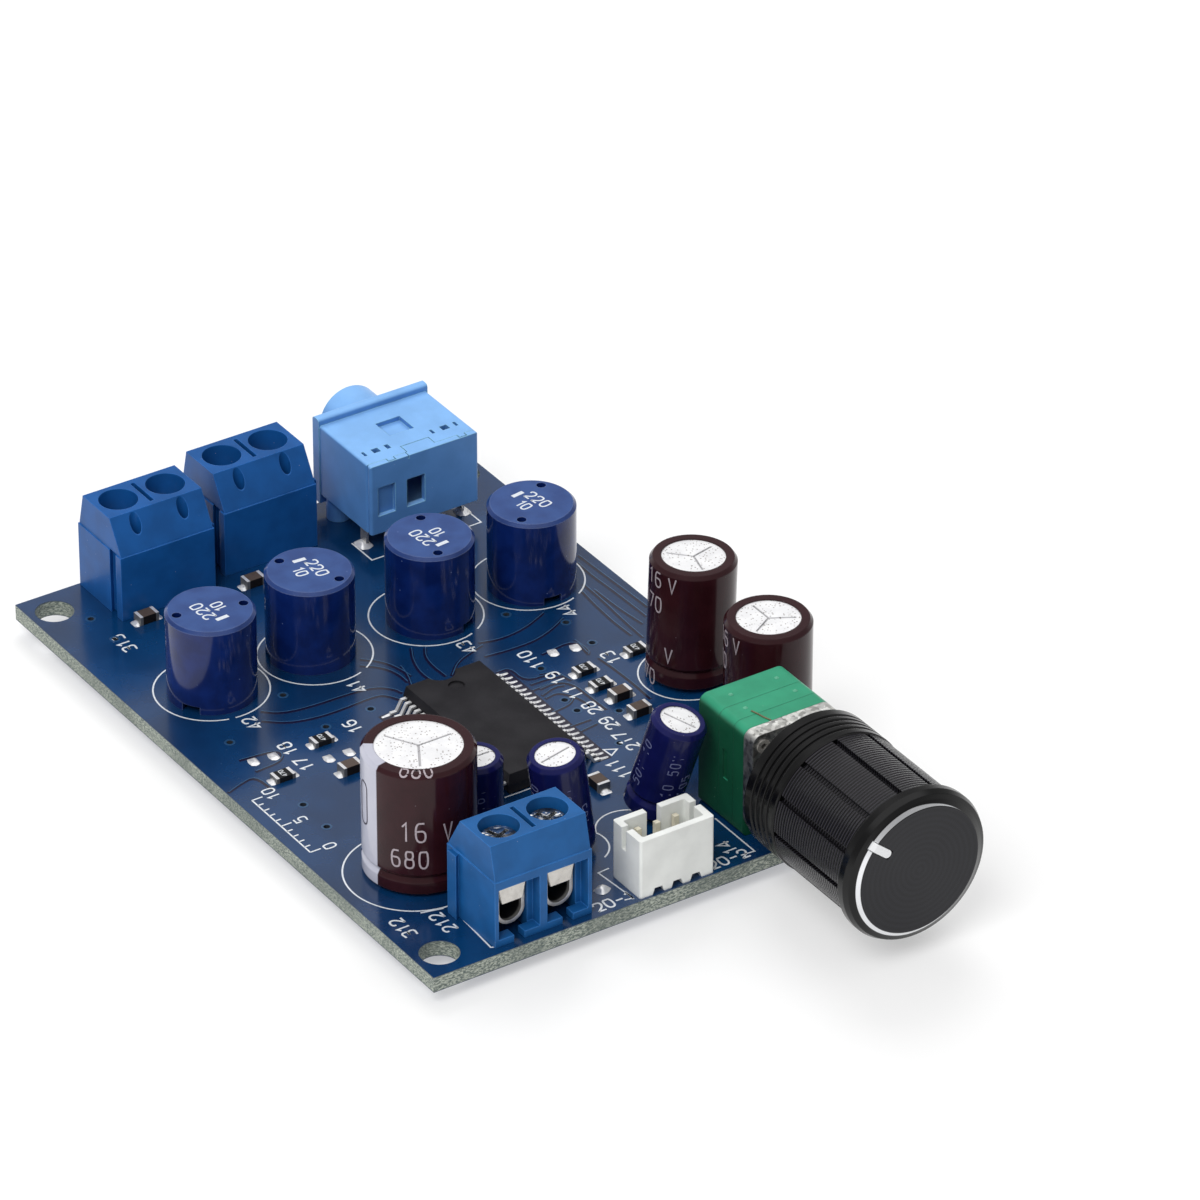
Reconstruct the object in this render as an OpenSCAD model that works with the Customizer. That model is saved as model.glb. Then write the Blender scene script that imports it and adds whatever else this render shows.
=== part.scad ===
// Stereo audio amplifier board with screw terminals, an input header, a headphone jack and a volume knob.
// Lengths are in millimetres. X runs along the front edge, Y towards the back edge and Z up.
// The origin is the centre of the four mounting holes, on the underside of the board.

/* [Board] */
// Width of the circuit board, along X
board_w = 50; // [50:0.5:52]
// Depth of the circuit board, along Y
board_d = 73; // [72.5:0.5:75]
// Thickness of the circuit board
board_t = 1.6; // [1.2:0.2:2]
// Radius of the mounting holes
mount_hole_r = 1.85; // [1.6:0.05:1.9]
// Distance from the mounting holes to the side edges
mount_inset_x = 2.5; // [2.4:0.05:2.6]
// Distance from the mounting holes to the front and back edges
mount_inset_y = 3; // [2.8:0.1:3.4]
// Length of the solder joints below the board
solder_h = 1.3; // [0.8:0.1:2]

/* [Screw terminals] */
// Distance between the two wire openings of a terminal
terminal_pitch = 5.08; // [5:0.02:5.1]
// Depth of a terminal, from the wire face to its back
terminal_d = 7.8; // [7.6:0.1:8]
// Height of a terminal
terminal_h = 10.2; // [9.8:0.1:10.6]
// Radius of the screw openings in the top
screw_hole_r = 1.875; // [1.75:0.025:1.95]
// Radius of the screw heads
screw_head_r = 1.6; // [1.4:0.05:1.65]
// Travel of the screws from fully raised to fully wound down
clamp_travel = 1.4; // [1:0.1:1.4]

/* [Input header] */
// Width of the header, along X
header_w = 7.9; // [7.6:0.1:8.2]
// Height of the header walls
header_h = 6; // [5.6:0.1:6.5]
// Distance between two pins of the header
header_pitch = 2; // [1.8:0.1:2.1]

/* [Amplifier chip] */
// Width of the chip body
chip_w = 8.4; // [8:0.1:8.8]
// Length of the chip body
chip_l = 17.9; // [17.5:0.1:18.4]
// Height of the chip above the board
chip_h = 2.2; // [1.9:0.1:2.5]
// Number of leads on each long side
chip_rows = 22; // [15:1:22]
// Distance between neighbouring leads
chip_pitch = 0.8; // [0.7:0.05:0.8]

/* [Inductors] */
// Radius of the inductor caps
inductor_r = 4.22; // [4.1:0.02:4.5]
// Height of the inductor caps
inductor_h = 8.9; // [8.5:0.1:10]

/* [Capacitors] */
// Radius of the large capacitor
large_cap_r = 5.2; // [5:0.05:5.25]
// Height of the large capacitor
large_cap_h = 12.85; // [12:0.05:14]
// Radius of the two tall capacitors
tall_cap_r = 4.08; // [3.9:0.02:4.2]
// Height of the two tall capacitors
tall_cap_h = 12.3; // [11.5:0.1:13]
// Radius of the three small capacitors
small_cap_r = 2.6; // [2.4:0.05:2.65]
// Length of the two leaning small capacitors
small_cap_h = 10.2; // [9.5:0.1:10.6]
// Height of the short small capacitor
short_cap_h = 7.5; // [6.5:0.1:8.5]

/* [Headphone jack] */
// Width of the jack body
jack_w = 12; // [11.8:0.1:12.4]
// Radius of the barrel
barrel_r = 3.2; // [2.9:0.1:3.4]
// Radius of the plug socket
socket_r = 1.8; // [1.75:0.01:1.85]

/* [Potentiometer] */
// Width of the potentiometer body
pot_w = 9.3; // [9:0.1:9.5]
// Height of the potentiometer body
pot_h = 11.4; // [11:0.1:12]
// Height of the shaft axis above the board
axis_h = 6.45; // [6.3:0.05:6.6]
// Radius of the shaft
shaft_r = 3; // [2.9:0.05:3]
// Running clearance around the shaft
shaft_gap = 0.05; // [0.03:0.01:0.08]

/* [Volume knob] */
// Largest radius of the knob
knob_r = 7.5; // [7.3:0.1:7.8]
// Length of the knob
knob_l = 17; // [16:0.5:18]
// Number of grip grooves
knob_grooves = 12; // [8:1:14]
// Angle of the pointer, counted from the right, seen from the front
pointer_angle = 140; // [100:5:170]

/* [Hidden] */
$fa = 10;
$fs = 0.25;
slip = 0.02;

// Leads, their holes in the board, and the small plated holes
lead_r = 0.3;
lead_hole_r = 0.45;
pin_r = 0.5;
pin_hole_r = 0.65;
via_r = 0.3;

// Screw terminals: wire face, section, openings
term_w = 2 * terminal_pitch;
shoulder_h = terminal_h - 3.4;
shoulder_step = 0.1;
window_w = 4.3;
window_z = [0.7, 5.95];
cage_y = 1.5;
cage_d = 4;
cage_w = 3;
cage_t = 0.35;
cage_bottom = 0.9;
cage_top = 6.7;
nut_t = 1;
cage_gap = 0.06;
screw_y = 3.29;
shank_r = 1.1;
thread_gap = 0.05;
guard_t = 0.3;
guard_z = 5.05;
tab_bottom = 3.45;
tab_top_w = 2.9;
tab_bottom_w = 2.1;
head_bottom = cage_top + 1.4 + 0.05;
head_t = 1;
slot_w = 0.4;
slot_depth = 0.5;
rib_y = 6.35;
rib_h = 6.7;
power_at = [6.93, 0.83];
left_at = [6.92, board_d - 0.2];
right_at = [19.06, board_d + 1.3];

// Input header
header_at = [25.75, 0.2];
header_d = 4.5;
header_wall = 0.7;
header_floor = 1.2;
header_pin_y = 3.35;
header_pin_top = 5;
header_pin_w = 0.5;

// Amplifier chip
chip_at = [25.25, 29.42];
chip_stand = 0.1;
chip_mid = (chip_h + chip_stand) / 2;
chip_lead_w = 0.35;
chip_lead_t = 0.2;
chip_foot = 1.75;
chip_draft = 0.2;
chip_top_x = chip_w / 2 - chip_draft;
chip_top_y = chip_l / 2 - chip_draft;
chip_notch_r = 1.5;
chip_mark_r = 0.76;
chip_mark_t = 0.2;

// Inductors: place and angle of the two openings in the top
inductors = [[7.75, 50.2, -14], [18.9, 51, -62], [31.4, 50.05, 72], [42.5, 49.75, 40.5]];
cap_wall = 0.5;
inductor_pitch = 5;
core_r = inductor_r - cap_wall - 0.35;
core_foot = 0.4;
flange_t = 1;
core_top = inductor_h - 1.2;

// Capacitors: place, base height, lean, direction of lean
large_at = [8.4, 15.5, 0.05, 0, 0];
front_at = [46.6, 16.6, 0.05, 0, 90];
rear_at = [46.25, 28.8, 0.2, 2.2, 15];
short_at = [15.9, 18.1, 0.05, 0, 0];
left_small_at = [21, 10.7, 0.45, 8, 184];
right_small_at = [30.25, 11.3, 0.85, 16, -54];
sleeve_t = 0.12;
crimp_z = 1.9;
crimp_depth = 0.3;
bung_h = 1;
bung_rim = 0.9;

// Headphone jack
jack_x = 38.4;
jack_y = board_d - 11.1;
jack_bottom = 2.3;
jack_top = 9.8;
jack_back = 9.1;
flange_d = 1.1;
flange_top = 10.5;
barrel_end = 13.6;
barrel_z = 6.8;
cover_t = 0.65;
jack_wall = 0.7;
jack_floor_t = 0.9;
jack_roof_t = 0.8;
jack_edge_r = 0.28;
ledge_r = 0.35;
lug_gap = 0.1;
contact_top = jack_top - 2;
spring_w = 1.6;
post_r = 1.15;
contact_t = 0.3;

// Potentiometer, front to back: metal plate, front deck, rear deck, cover with the switch
pot_x = 39.6;
plate_y = 2;
plate_t = 1.45;
front_deck_t = 1.65;
rear_deck_t = 2.3;
cover_d = 3.15;
bush_r = 3.5;
bush_l = 5;
journal_r = 2;
rivet_x = 3.56;
rivet_z = 3.73;
rivet_r = 0.45;
rivet_head_r = 0.68;
pot_edge_r = 0.9;
pot_pins = [[-2.5, 4.4], [0, 4.4], [2.5, 4.4], [-2.5, 6.2], [0, 6.2], [2.5, 6.2], [-2.5, 9.2], [2.5, 9.2]];
pot_pin_r = 0.35;
pot_pin_in = 1.4;

// Volume knob, measured from its back end
knob_back = -0.25;
collar_l = 4.3;
grip_r = knob_r - 0.5;
band_l = 1.85;
face_r = knob_r - 1.24;
groove_w = 0.55;
groove_depth = 0.5;
bush_room_r = 4.6;
shaft_end = knob_l - 3;

// Chip resistors and chip capacitors: place and turn
chip_size = [2, 1.25];
resistor_h = 0.55;
chip_cap_h = 0.9;
end_t = 0.32;
resistors = [[11.6, 37.3, 0], [5.55, 34.2, 0], [38.1, 34.1, 0], [38.05, 31.2, 0], [44, 34.4, 0]];
chip_caps = [
    [38.5, 28.7, 0], [38.5, 25.5, 0], [28.7, 17.4, 90], [11.25, 31.85, 0],
    [left_at[0] + 1.98, left_at[1] - terminal_d - 1.05, 0],
    [right_at[0] + 1.44, right_at[1] - terminal_d - 2.6, 0]
];
vias = [
    [4.66, 67], [4.78, 62.75], [12.8, 46], [18.3, 39.6], [4.6, 41.9], [13.3, 39.3], [4.8, 29.5],
    [4.7, 25.3], [37.5, 46.4], [41.4, 42.2], [41.5, 37.9], [34, 31.1], [34, 29], [35.1, 36.8],
    [37.2, 26.85], [34.25, 22.3]
];

// Through-hole places
function turned(at, d, a) = [at[0] + d * cos(a), at[1] + d * sin(a)];
function cap_leads(at, pitch) = [turned(at, pitch / 2, at[4] + 90), turned(at, -pitch / 2, at[4] + 90)];
function terminal_pins(at, s) = [
    for (i = [0, 1]) [at[0] + term_w * (0.25 + 0.5 * i), at[1] + s * (cage_y + cage_d / 2)]
];
cap_lead_places = concat(
    cap_leads(large_at, 5), cap_leads(front_at, 3.5), cap_leads(rear_at, 3.5),
    cap_leads(short_at, 2), cap_leads(left_small_at, 2), cap_leads(right_small_at, 2)
);
cap_lead_tops = [
    large_at[2], large_at[2], front_at[2], front_at[2], rear_at[2] - 0.02, rear_at[2] - 0.02,
    short_at[2], short_at[2], left_small_at[2] - 0.06, left_small_at[2] - 0.06,
    right_small_at[2] - 0.11, right_small_at[2] - 0.11
];
inductor_lead_places = [for (p = inductors, s = [-1, 1]) [p[0] + s * inductor_pitch / 2, p[1]]];
header_pin_places = [for (i = [-1, 0, 1]) [header_at[0] + i * header_pitch, header_at[1] + header_pin_y]];
pot_pin_places = [for (p = pot_pins) [pot_x + p[0], p[1]]];
// Slots in the jack's top: start, width and depth
jack_slots = [
    [-5.3, 0.3, 0.4], [-4.25, 0.75, 1.2], [-2.8, 0.45, 0.6],
    [2.25, 0.3, 0.4], [3.4, 0.8, 1.2], [4.85, 0.3, 0.4]
];
jack_side_x = jack_w / 2 - jack_wall + contact_t / 2 - 0.1;
jack_pin_places = [
    [jack_x - jack_side_x, jack_y + 2.3], [jack_x + jack_side_x, jack_y + 2.3],
    [jack_x - 2.4, jack_y + 1.2], [jack_x + 2.4, jack_y + 1.2], [jack_x, jack_y + 7.6]
];
cage_pin_places = concat(
    terminal_pins(power_at, 1), terminal_pins(left_at, -1), terminal_pins(right_at, -1)
);

// Places a piece by its distance from the front left corner of the board's top face
module on_board(at, z = 0) {
    translate([at[0] - board_w / 2, at[1] - board_d / 2, board_t + z]) children();
}

// A block that starts at a corner and spans three lengths
module block(from, size) {
    translate(from) cube(size);
}

// Upright block with its four upright edges rounded
module soft_block(from, size, r) {
    translate(from) linear_extrude(size[2]) {
        translate([r, 0]) square([size[0] - 2 * r, size[1]]);
        translate([0, r]) square([size[0], size[1] - 2 * r]);
        for (x = [r, size[0] - r], y = [r, size[1] - r]) translate([x, y]) circle(r = r);
    }
}

// Slab across Y with its two upper corners rounded
module slab(w, from, to, bottom, top, r) {
    translate([0, to, 0]) rotate([90, 0, 0]) linear_extrude(to - from) {
        translate([-w / 2, bottom]) square([w, top - bottom - r]);
        translate([r - w / 2, bottom]) square([w - 2 * r, top - bottom]);
        for (s = [-1, 1]) translate([s * (w / 2 - r), top - r]) circle(r = r);
    }
}

// Section in Y and Z, drawn out along X
module along_x(w, points) {
    rotate([90, 0, 90]) linear_extrude(w) polygon(points);
}

module circuit_board() {
    color("MidnightBlue") difference() {
        translate([-board_w / 2, -board_d / 2, 0]) cube([board_w, board_d, board_t]);
        for (x = [-1, 1], y = [-1, 1])
            translate([x * (board_w / 2 - mount_inset_x), y * (board_d / 2 - mount_inset_y), -1])
                cylinder(r = mount_hole_r, h = board_t + 2);
        for (p = vias) on_board(p, -board_t - 1) cylinder(r = via_r, h = board_t + 2);
        for (p = concat(cap_lead_places, inductor_lead_places, header_pin_places, pot_pin_places))
            on_board(p, -board_t - 1) cylinder(r = lead_hole_r, h = board_t + 2);
        for (p = concat(cage_pin_places, jack_pin_places))
            on_board(p, -board_t - 1) cylinder(r = pin_hole_r, h = board_t + 2);
    }
}

module solder_joints() {
    color("Silver") {
        for (p = concat(cap_lead_places, inductor_lead_places, header_pin_places, pot_pin_places))
            on_board(p, -board_t - solder_h) cylinder(r1 = 0.35, r2 = 0.85, h = solder_h);
        for (p = concat(cage_pin_places, jack_pin_places))
            on_board(p, -board_t - solder_h) cylinder(r1 = 0.5, r2 = 1.1, h = solder_h);
    }
}

// Terminals: own frame with the wire face at y = 0, looking at it with x to the right
module at_power() {
    on_board(power_at) children();
}

module at_left() {
    on_board([left_at[0] + term_w, left_at[1]]) rotate([0, 0, 180]) children();
}

module at_right() {
    on_board([right_at[0] + term_w, right_at[1]]) rotate([0, 0, 180]) children();
}

module at_wire(i) {
    translate([term_w * (0.25 + 0.5 * i), 0, 0]) children();
}

module dovetail(d, root, tip, h) {
    linear_extrude(h) polygon([[0.2, -root], [0, -root], [-d, -tip], [-d, tip], [0, root], [0.2, root]]);
}

module terminal_housing() {
    difference() {
        union() {
            block([0, 0, 0], [term_w, terminal_d, shoulder_h]);
            translate([shoulder_step, 0, 0]) along_x(term_w - 2 * shoulder_step, [
                [shoulder_step, 1], [shoulder_step, shoulder_h], [0.9, terminal_h],
                [terminal_d - 2.04, terminal_h], [terminal_d - shoulder_step, shoulder_h + 0.1],
                [terminal_d - shoulder_step, 1]
            ]);
            translate([0, rib_y, 0]) dovetail(0.45, 0.45, 0.7, rib_h);
        }
        for (i = [0, 1]) at_wire(i) {
            block([-window_w / 2, -1, window_z[0]], [window_w, 1 + 1.2, window_z[1] - window_z[0]]);
            block([-0.55, -1, -1], [1.1, 3, 1.01 + window_z[0]]);
            block(
                [-cage_w / 2 - cage_gap, 1.1, -1],
                [cage_w + 2 * cage_gap, cage_y + cage_d - 0.9, 1 + cage_top + 0.1]
            );
            translate([0, screw_y, cage_top]) cylinder(r = screw_hole_r, h = terminal_h);
            translate([0, rib_y, terminal_h - 2.6]) cylinder(r = 0.55, h = 4);
        }
        block([term_w / 2 - 0.22, 1.5, terminal_h - 1.8], [0.44, 3.7, 3]);
        translate([term_w, rib_y, -1]) dovetail(0.5, 0.55, 0.8, rib_h + 1.2);
    }
}

// Upright U with a closed top, drawn from the middle of its round bottom
module u_outline(r, top) {
    circle(r = r);
    translate([-r, 0]) square([2 * r, top]);
}

module wire_cage() {
    r = cage_w / 2;
    difference() {
        union() {
            translate([0, cage_y + cage_d, cage_bottom + r]) rotate([90, 0, 0]) linear_extrude(cage_d)
                u_outline(r, cage_top - cage_bottom - r);
            translate([0, cage_y + cage_d / 2, -board_t])
                cylinder(r = pin_r, h = board_t + cage_bottom + 0.2);
        }
        translate([0, cage_y + cage_d + 1, cage_bottom + r]) rotate([90, 0, 0]) linear_extrude(cage_d + 2)
            u_outline(r - cage_t, cage_top - nut_t - cage_bottom - r);
        translate([0, screw_y, cage_top - nut_t - 1]) cylinder(r = shank_r + thread_gap, h = 10);
    }
}

module clamp_screw(z) {
    translate([0, screw_y, z]) difference() {
        union() {
            translate([0, 0, guard_z + guard_t + slip])
                cylinder(r = shank_r, h = head_bottom - guard_z - guard_t);
            translate([0, 0, head_bottom]) cylinder(r = screw_head_r, h = head_t);
        }
        for (a = [20, 110]) rotate([0, 0, a]) block(
            [-screw_head_r + 0.35, -slot_w / 2, head_bottom + head_t - slot_depth],
            [2 * screw_head_r - 0.7, slot_w, 2]
        );
    }
}

module wire_guard(z) {
    translate([0, 0, z]) {
        block(
            [-tab_bottom_w / 2, cage_y - 0.05 - guard_t, guard_z],
            [tab_bottom_w, cage_d + 0.15, guard_t]
        );
        translate([0, cage_y - 0.05, 0]) rotate([90, 0, 0]) linear_extrude(guard_t) polygon([
            [-tab_top_w / 2, guard_z + guard_t], [tab_top_w / 2, guard_z + guard_t],
            [tab_bottom_w / 2, tab_bottom], [-tab_bottom_w / 2, tab_bottom]
        ]);
    }
}

module wire_cages() {
    color("Silver") for (i = [0, 1]) at_wire(i) wire_cage();
}

module power_terminal_housing() {
    color("DodgerBlue") at_power() terminal_housing();
}

module left_speaker_terminal_housing() {
    color("SteelBlue") at_left() terminal_housing();
}

module right_speaker_terminal_housing() {
    color("SteelBlue") at_right() terminal_housing();
}

module power_terminal_cages() {
    at_power() wire_cages();
}

module left_speaker_terminal_cages() {
    at_left() wire_cages();
}

module right_speaker_terminal_cages() {
    at_right() wire_cages();
}

// The supply terminal stands open, the two loudspeaker terminals are wound down
module power_screw_1() {
    color("Gainsboro") at_power() at_wire(0) clamp_screw(0);
}

module power_screw_2() {
    color("Gainsboro") at_power() at_wire(1) clamp_screw(0);
}

module left_speaker_screw_1() {
    color("Gainsboro") at_left() at_wire(0) clamp_screw(-clamp_travel);
}

module left_speaker_screw_2() {
    color("Gainsboro") at_left() at_wire(1) clamp_screw(-clamp_travel);
}

module right_speaker_screw_1() {
    color("Gainsboro") at_right() at_wire(0) clamp_screw(-clamp_travel);
}

module right_speaker_screw_2() {
    color("Gainsboro") at_right() at_wire(1) clamp_screw(-clamp_travel);
}

module power_wire_guard_1() {
    color("Silver") at_power() at_wire(0) wire_guard(0);
}

module power_wire_guard_2() {
    color("Silver") at_power() at_wire(1) wire_guard(0);
}

module left_speaker_wire_guard_1() {
    color("Silver") at_left() at_wire(0) wire_guard(-clamp_travel);
}

module left_speaker_wire_guard_2() {
    color("Silver") at_left() at_wire(1) wire_guard(-clamp_travel);
}

module right_speaker_wire_guard_1() {
    color("Silver") at_right() at_wire(0) wire_guard(-clamp_travel);
}

module right_speaker_wire_guard_2() {
    color("Silver") at_right() at_wire(1) wire_guard(-clamp_travel);
}

// Open box with a gap in its back wall, a slot in each end wall and notches below the front wall
module header_housing() {
    color("WhiteSmoke") on_board(header_at) difference() {
        soft_block([-header_w / 2, 0, 0], [header_w, header_d, header_h], 0.25);
        soft_block(
            [-header_w / 2 + header_wall, header_wall, header_floor],
            [header_w - 2 * header_wall, header_d - 2 * header_wall, header_h], 0.2
        );
        block([-0.75, header_d - header_wall - 0.1, header_floor], [1.5, 2, header_h]);
        block([-header_w, 2.3, header_h - 2.2], [2 * header_w, 0.7, 4]);
        for (i = [-1, 0, 1]) translate([i * header_pitch, 0, 0]) {
            translate([0, 1.5, 0]) rotate([90, 0, 0]) linear_extrude(2)
                polygon([[-0.65, -0.1], [0.65, -0.1], [0.4, 0.65], [-0.4, 0.65]]);
            block([-0.27, header_pin_y - 0.27, -1], [0.54, 0.54, 4]);
        }
    }
}

module header_pins() {
    color("Silver") for (p = header_pin_places) on_board(p, -board_t)
        translate([-header_pin_w / 2, -header_pin_w / 2, 0])
            cube([header_pin_w, header_pin_w, board_t + header_pin_top]);
}

module amplifier_chip_body() {
    color("DimGray") on_board(chip_at) difference() {
        intersection() {
            translate([-chip_w / 2 - 1, 0, 0]) along_x(chip_w + 2, [
                [-chip_top_y, chip_stand], [-chip_l / 2, chip_mid], [-chip_top_y, chip_h],
                [chip_top_y, chip_h], [chip_l / 2, chip_mid], [chip_top_y, chip_stand]
            ]);
            translate([0, chip_l / 2 + 1, 0]) rotate([90, 0, 0]) linear_extrude(chip_l + 2) polygon([
                [-chip_top_x, chip_stand], [-chip_w / 2, chip_mid], [-chip_top_x, chip_h],
                [chip_top_x, chip_h], [chip_w / 2, chip_mid], [chip_top_x, chip_stand]
            ]);
        }
        translate([-0.1, chip_l / 2 + 0.23, chip_mid]) cylinder(r = chip_notch_r, h = chip_h);
        translate([0, chip_l / 2 - 2.55, chip_h - chip_mark_t]) cylinder(r = chip_mark_r, h = 1);
    }
}

module amplifier_chip_leads() {
    x = chip_w / 2;
    color("Silver") on_board(chip_at) for (side = [0, 180], i = [0:chip_rows - 1])
        rotate([0, 0, side]) translate([0, (i - (chip_rows - 1) / 2) * chip_pitch + chip_lead_w / 2, 0])
            rotate([90, 0, 0]) linear_extrude(chip_lead_w) polygon([
                [x, chip_mid + chip_lead_t / 2], [x + 0.55, chip_mid + chip_lead_t / 2],
                [x + 1.15, chip_lead_t], [x + chip_foot, chip_lead_t], [x + chip_foot, 0],
                [x + 1, 0], [x + 0.4, chip_mid - chip_lead_t / 2], [x, chip_mid - chip_lead_t / 2]
            ]);
}

// Inductor: an inverted cup over a wound ferrite drum
module inductor_cap(p) {
    inner = inductor_r - cap_wall;
    color("SlateBlue") on_board(p) rotate([0, 0, p[2]]) difference() {
        rotate_extrude() polygon([
            [0, inductor_h - 0.6], [inner, inductor_h - 0.6], [inner, 0], [inductor_r, 0],
            [inductor_r, inductor_h - 0.3], [inductor_r - 0.3, inductor_h], [0, inductor_h]
        ]);
        for (s = [-1, 1]) translate([s * 3.2, 0, inductor_h - 2]) cylinder(r = 0.45, h = 4);
        rotate([0, 0, 45]) block([-2 * inductor_r, -0.9, -1], [4 * inductor_r, 1.8, 1.8]);
    }
}

module inductor_cap_1() {
    inductor_cap(inductors[0]);
}

module inductor_cap_2() {
    inductor_cap(inductors[1]);
}

module inductor_cap_3() {
    inductor_cap(inductors[2]);
}

module inductor_cap_4() {
    inductor_cap(inductors[3]);
}

module inductor_cores() {
    color("DarkSlateGray") for (p = inductors) on_board(p, core_foot) rotate_extrude() polygon([
        [0, 0], [core_r, 0], [core_r, flange_t], [core_r - 1.6, flange_t],
        [core_r - 1.6, core_top - core_foot - flange_t], [core_r, core_top - core_foot - flange_t],
        [core_r, core_top - core_foot], [0, core_top - core_foot]
    ]);
}

module inductor_windings() {
    color("Peru") for (p = inductors) on_board(p, core_foot + flange_t) rotate_extrude()
        translate([core_r - 1.6, 0]) square([1.4, core_top - core_foot - 2 * flange_t]);
}

module inductor_leads() {
    color("Silver") for (p = inductor_lead_places) on_board(p, -board_t)
        cylinder(r = lead_r, h = board_t + core_foot);
}

// Capacitor: a sealed can in a shrunk sleeve that folds over the top and bottom edges
function can_edge(r, h) = [
    [r - 0.35, h - sleeve_t], [r - sleeve_t, h - 0.45], [r - sleeve_t, crimp_z + 0.45],
    [r - sleeve_t - crimp_depth, crimp_z], [r - sleeve_t, crimp_z - 0.45], [r - sleeve_t, 0.4],
    [r - 0.4, sleeve_t]
];
function sleeve_edge(r, h) = [
    [r - 0.6, 0], [r - 0.35, 0], [r, 0.35], [r, crimp_z - 0.45], [r - crimp_depth, crimp_z],
    [r, crimp_z + 0.45], [r, h - 0.4], [r - 0.3, h]
];

module at_capacitor(at) {
    on_board(at, at[2]) rotate([0, at[3], at[4]]) children();
}

module capacitor_sleeve(at, r, h, disc_r) {
    at_capacitor(at) rotate_extrude() polygon(concat(
        sleeve_edge(r, h), [[disc_r, h], [disc_r, h - sleeve_t]], can_edge(r, h), [[r - 0.6, sleeve_t]]
    ));
}

module capacitor_can(at, r, h, disc_r, vents) {
    color("Gainsboro") at_capacitor(at) difference() {
        rotate_extrude() polygon(concat([[0, h - sleeve_t]], can_edge(r, h), [[0, sleeve_t]]));
        cylinder(r = r - bung_rim, h = bung_h + slip);
        for (i = [1:vents]) rotate([0, 0, i * 360 / vents])
            block([0, -0.1, h - sleeve_t - 0.15], [disc_r * 0.85, 0.2, 1]);
    }
}

module large_capacitor_sleeve() {
    color("Maroon") capacitor_sleeve(large_at, large_cap_r, large_cap_h, large_cap_r - 1.2);
}

module large_capacitor_can() {
    capacitor_can(large_at, large_cap_r, large_cap_h, large_cap_r - 1.2, 3);
}

module front_capacitor_sleeve() {
    color("Maroon") capacitor_sleeve(front_at, tall_cap_r, tall_cap_h, tall_cap_r - 1.1);
}

module front_capacitor_can() {
    capacitor_can(front_at, tall_cap_r, tall_cap_h, tall_cap_r - 1.1, 3);
}

module rear_capacitor_sleeve() {
    color("Maroon") capacitor_sleeve(rear_at, tall_cap_r, tall_cap_h, tall_cap_r - 1.1);
}

module rear_capacitor_can() {
    capacitor_can(rear_at, tall_cap_r, tall_cap_h, tall_cap_r - 1.1, 3);
}

module short_capacitor_sleeve() {
    color("DarkSlateBlue") capacitor_sleeve(short_at, small_cap_r, short_cap_h, small_cap_r - 0.75);
}

module short_capacitor_can() {
    capacitor_can(short_at, small_cap_r, short_cap_h, small_cap_r - 0.75, 2);
}

module left_small_capacitor_sleeve() {
    color("DarkSlateBlue") capacitor_sleeve(left_small_at, small_cap_r, small_cap_h, small_cap_r - 0.75);
}

module left_small_capacitor_can() {
    capacitor_can(left_small_at, small_cap_r, small_cap_h, small_cap_r - 0.75, 2);
}

module right_small_capacitor_sleeve() {
    color("DarkSlateBlue") capacitor_sleeve(right_small_at, small_cap_r, small_cap_h, small_cap_r - 0.75);
}

module right_small_capacitor_can() {
    capacitor_can(right_small_at, small_cap_r, small_cap_h, small_cap_r - 0.75, 2);
}

module capacitor_bung(at, r) {
    at_capacitor(at) translate([0, 0, slip]) cylinder(r = r - bung_rim - slip, h = bung_h - slip);
}

module capacitor_bungs() {
    color("Black") {
        capacitor_bung(large_at, large_cap_r);
        capacitor_bung(front_at, tall_cap_r);
        capacitor_bung(rear_at, tall_cap_r);
        capacitor_bung(short_at, small_cap_r);
        capacitor_bung(left_small_at, small_cap_r);
        capacitor_bung(right_small_at, small_cap_r);
    }
}

module capacitor_leads() {
    color("Silver") for (i = [0:len(cap_lead_places) - 1]) on_board(cap_lead_places[i], -board_t)
        cylinder(r = lead_r, h = board_t + cap_lead_tops[i]);
}

// Jack: own frame with the middle of the cover's outer face at the origin, y towards the barrel
module at_jack() {
    on_board([jack_x, jack_y]) children();
}

module jack_tongue(gap) {
    block([-1.5 - gap, -0.1, jack_top - 0.6 - gap], [3 + 2 * gap, 1.85 + gap, 2]);
}

module jack_lugs(gap) {
    for (x = [-3.5, 4.4]) block(
        [x - 0.35 - gap, 0.2 - gap, jack_top - 1.5 - gap],
        [0.7 + 2 * gap, 1 + gap, 1.5 + 2 * gap]
    );
}

// Ledge around the barrel end, with a rounded upper rim
module jack_ledge() {
    foot = jack_bottom - 1;
    translate([-jack_w / 2 - 0.1, 0, 0]) rotate([90, 0, 90]) linear_extrude(jack_w + 0.2) {
        translate([jack_back, foot]) square([flange_d, flange_top - foot - ledge_r]);
        translate([jack_back + ledge_r, foot]) square([flange_d - 2 * ledge_r, flange_top - foot]);
        for (y = [jack_back + ledge_r, jack_back + flange_d - ledge_r])
            translate([y, flange_top - ledge_r]) circle(r = ledge_r);
    }
}

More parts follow.
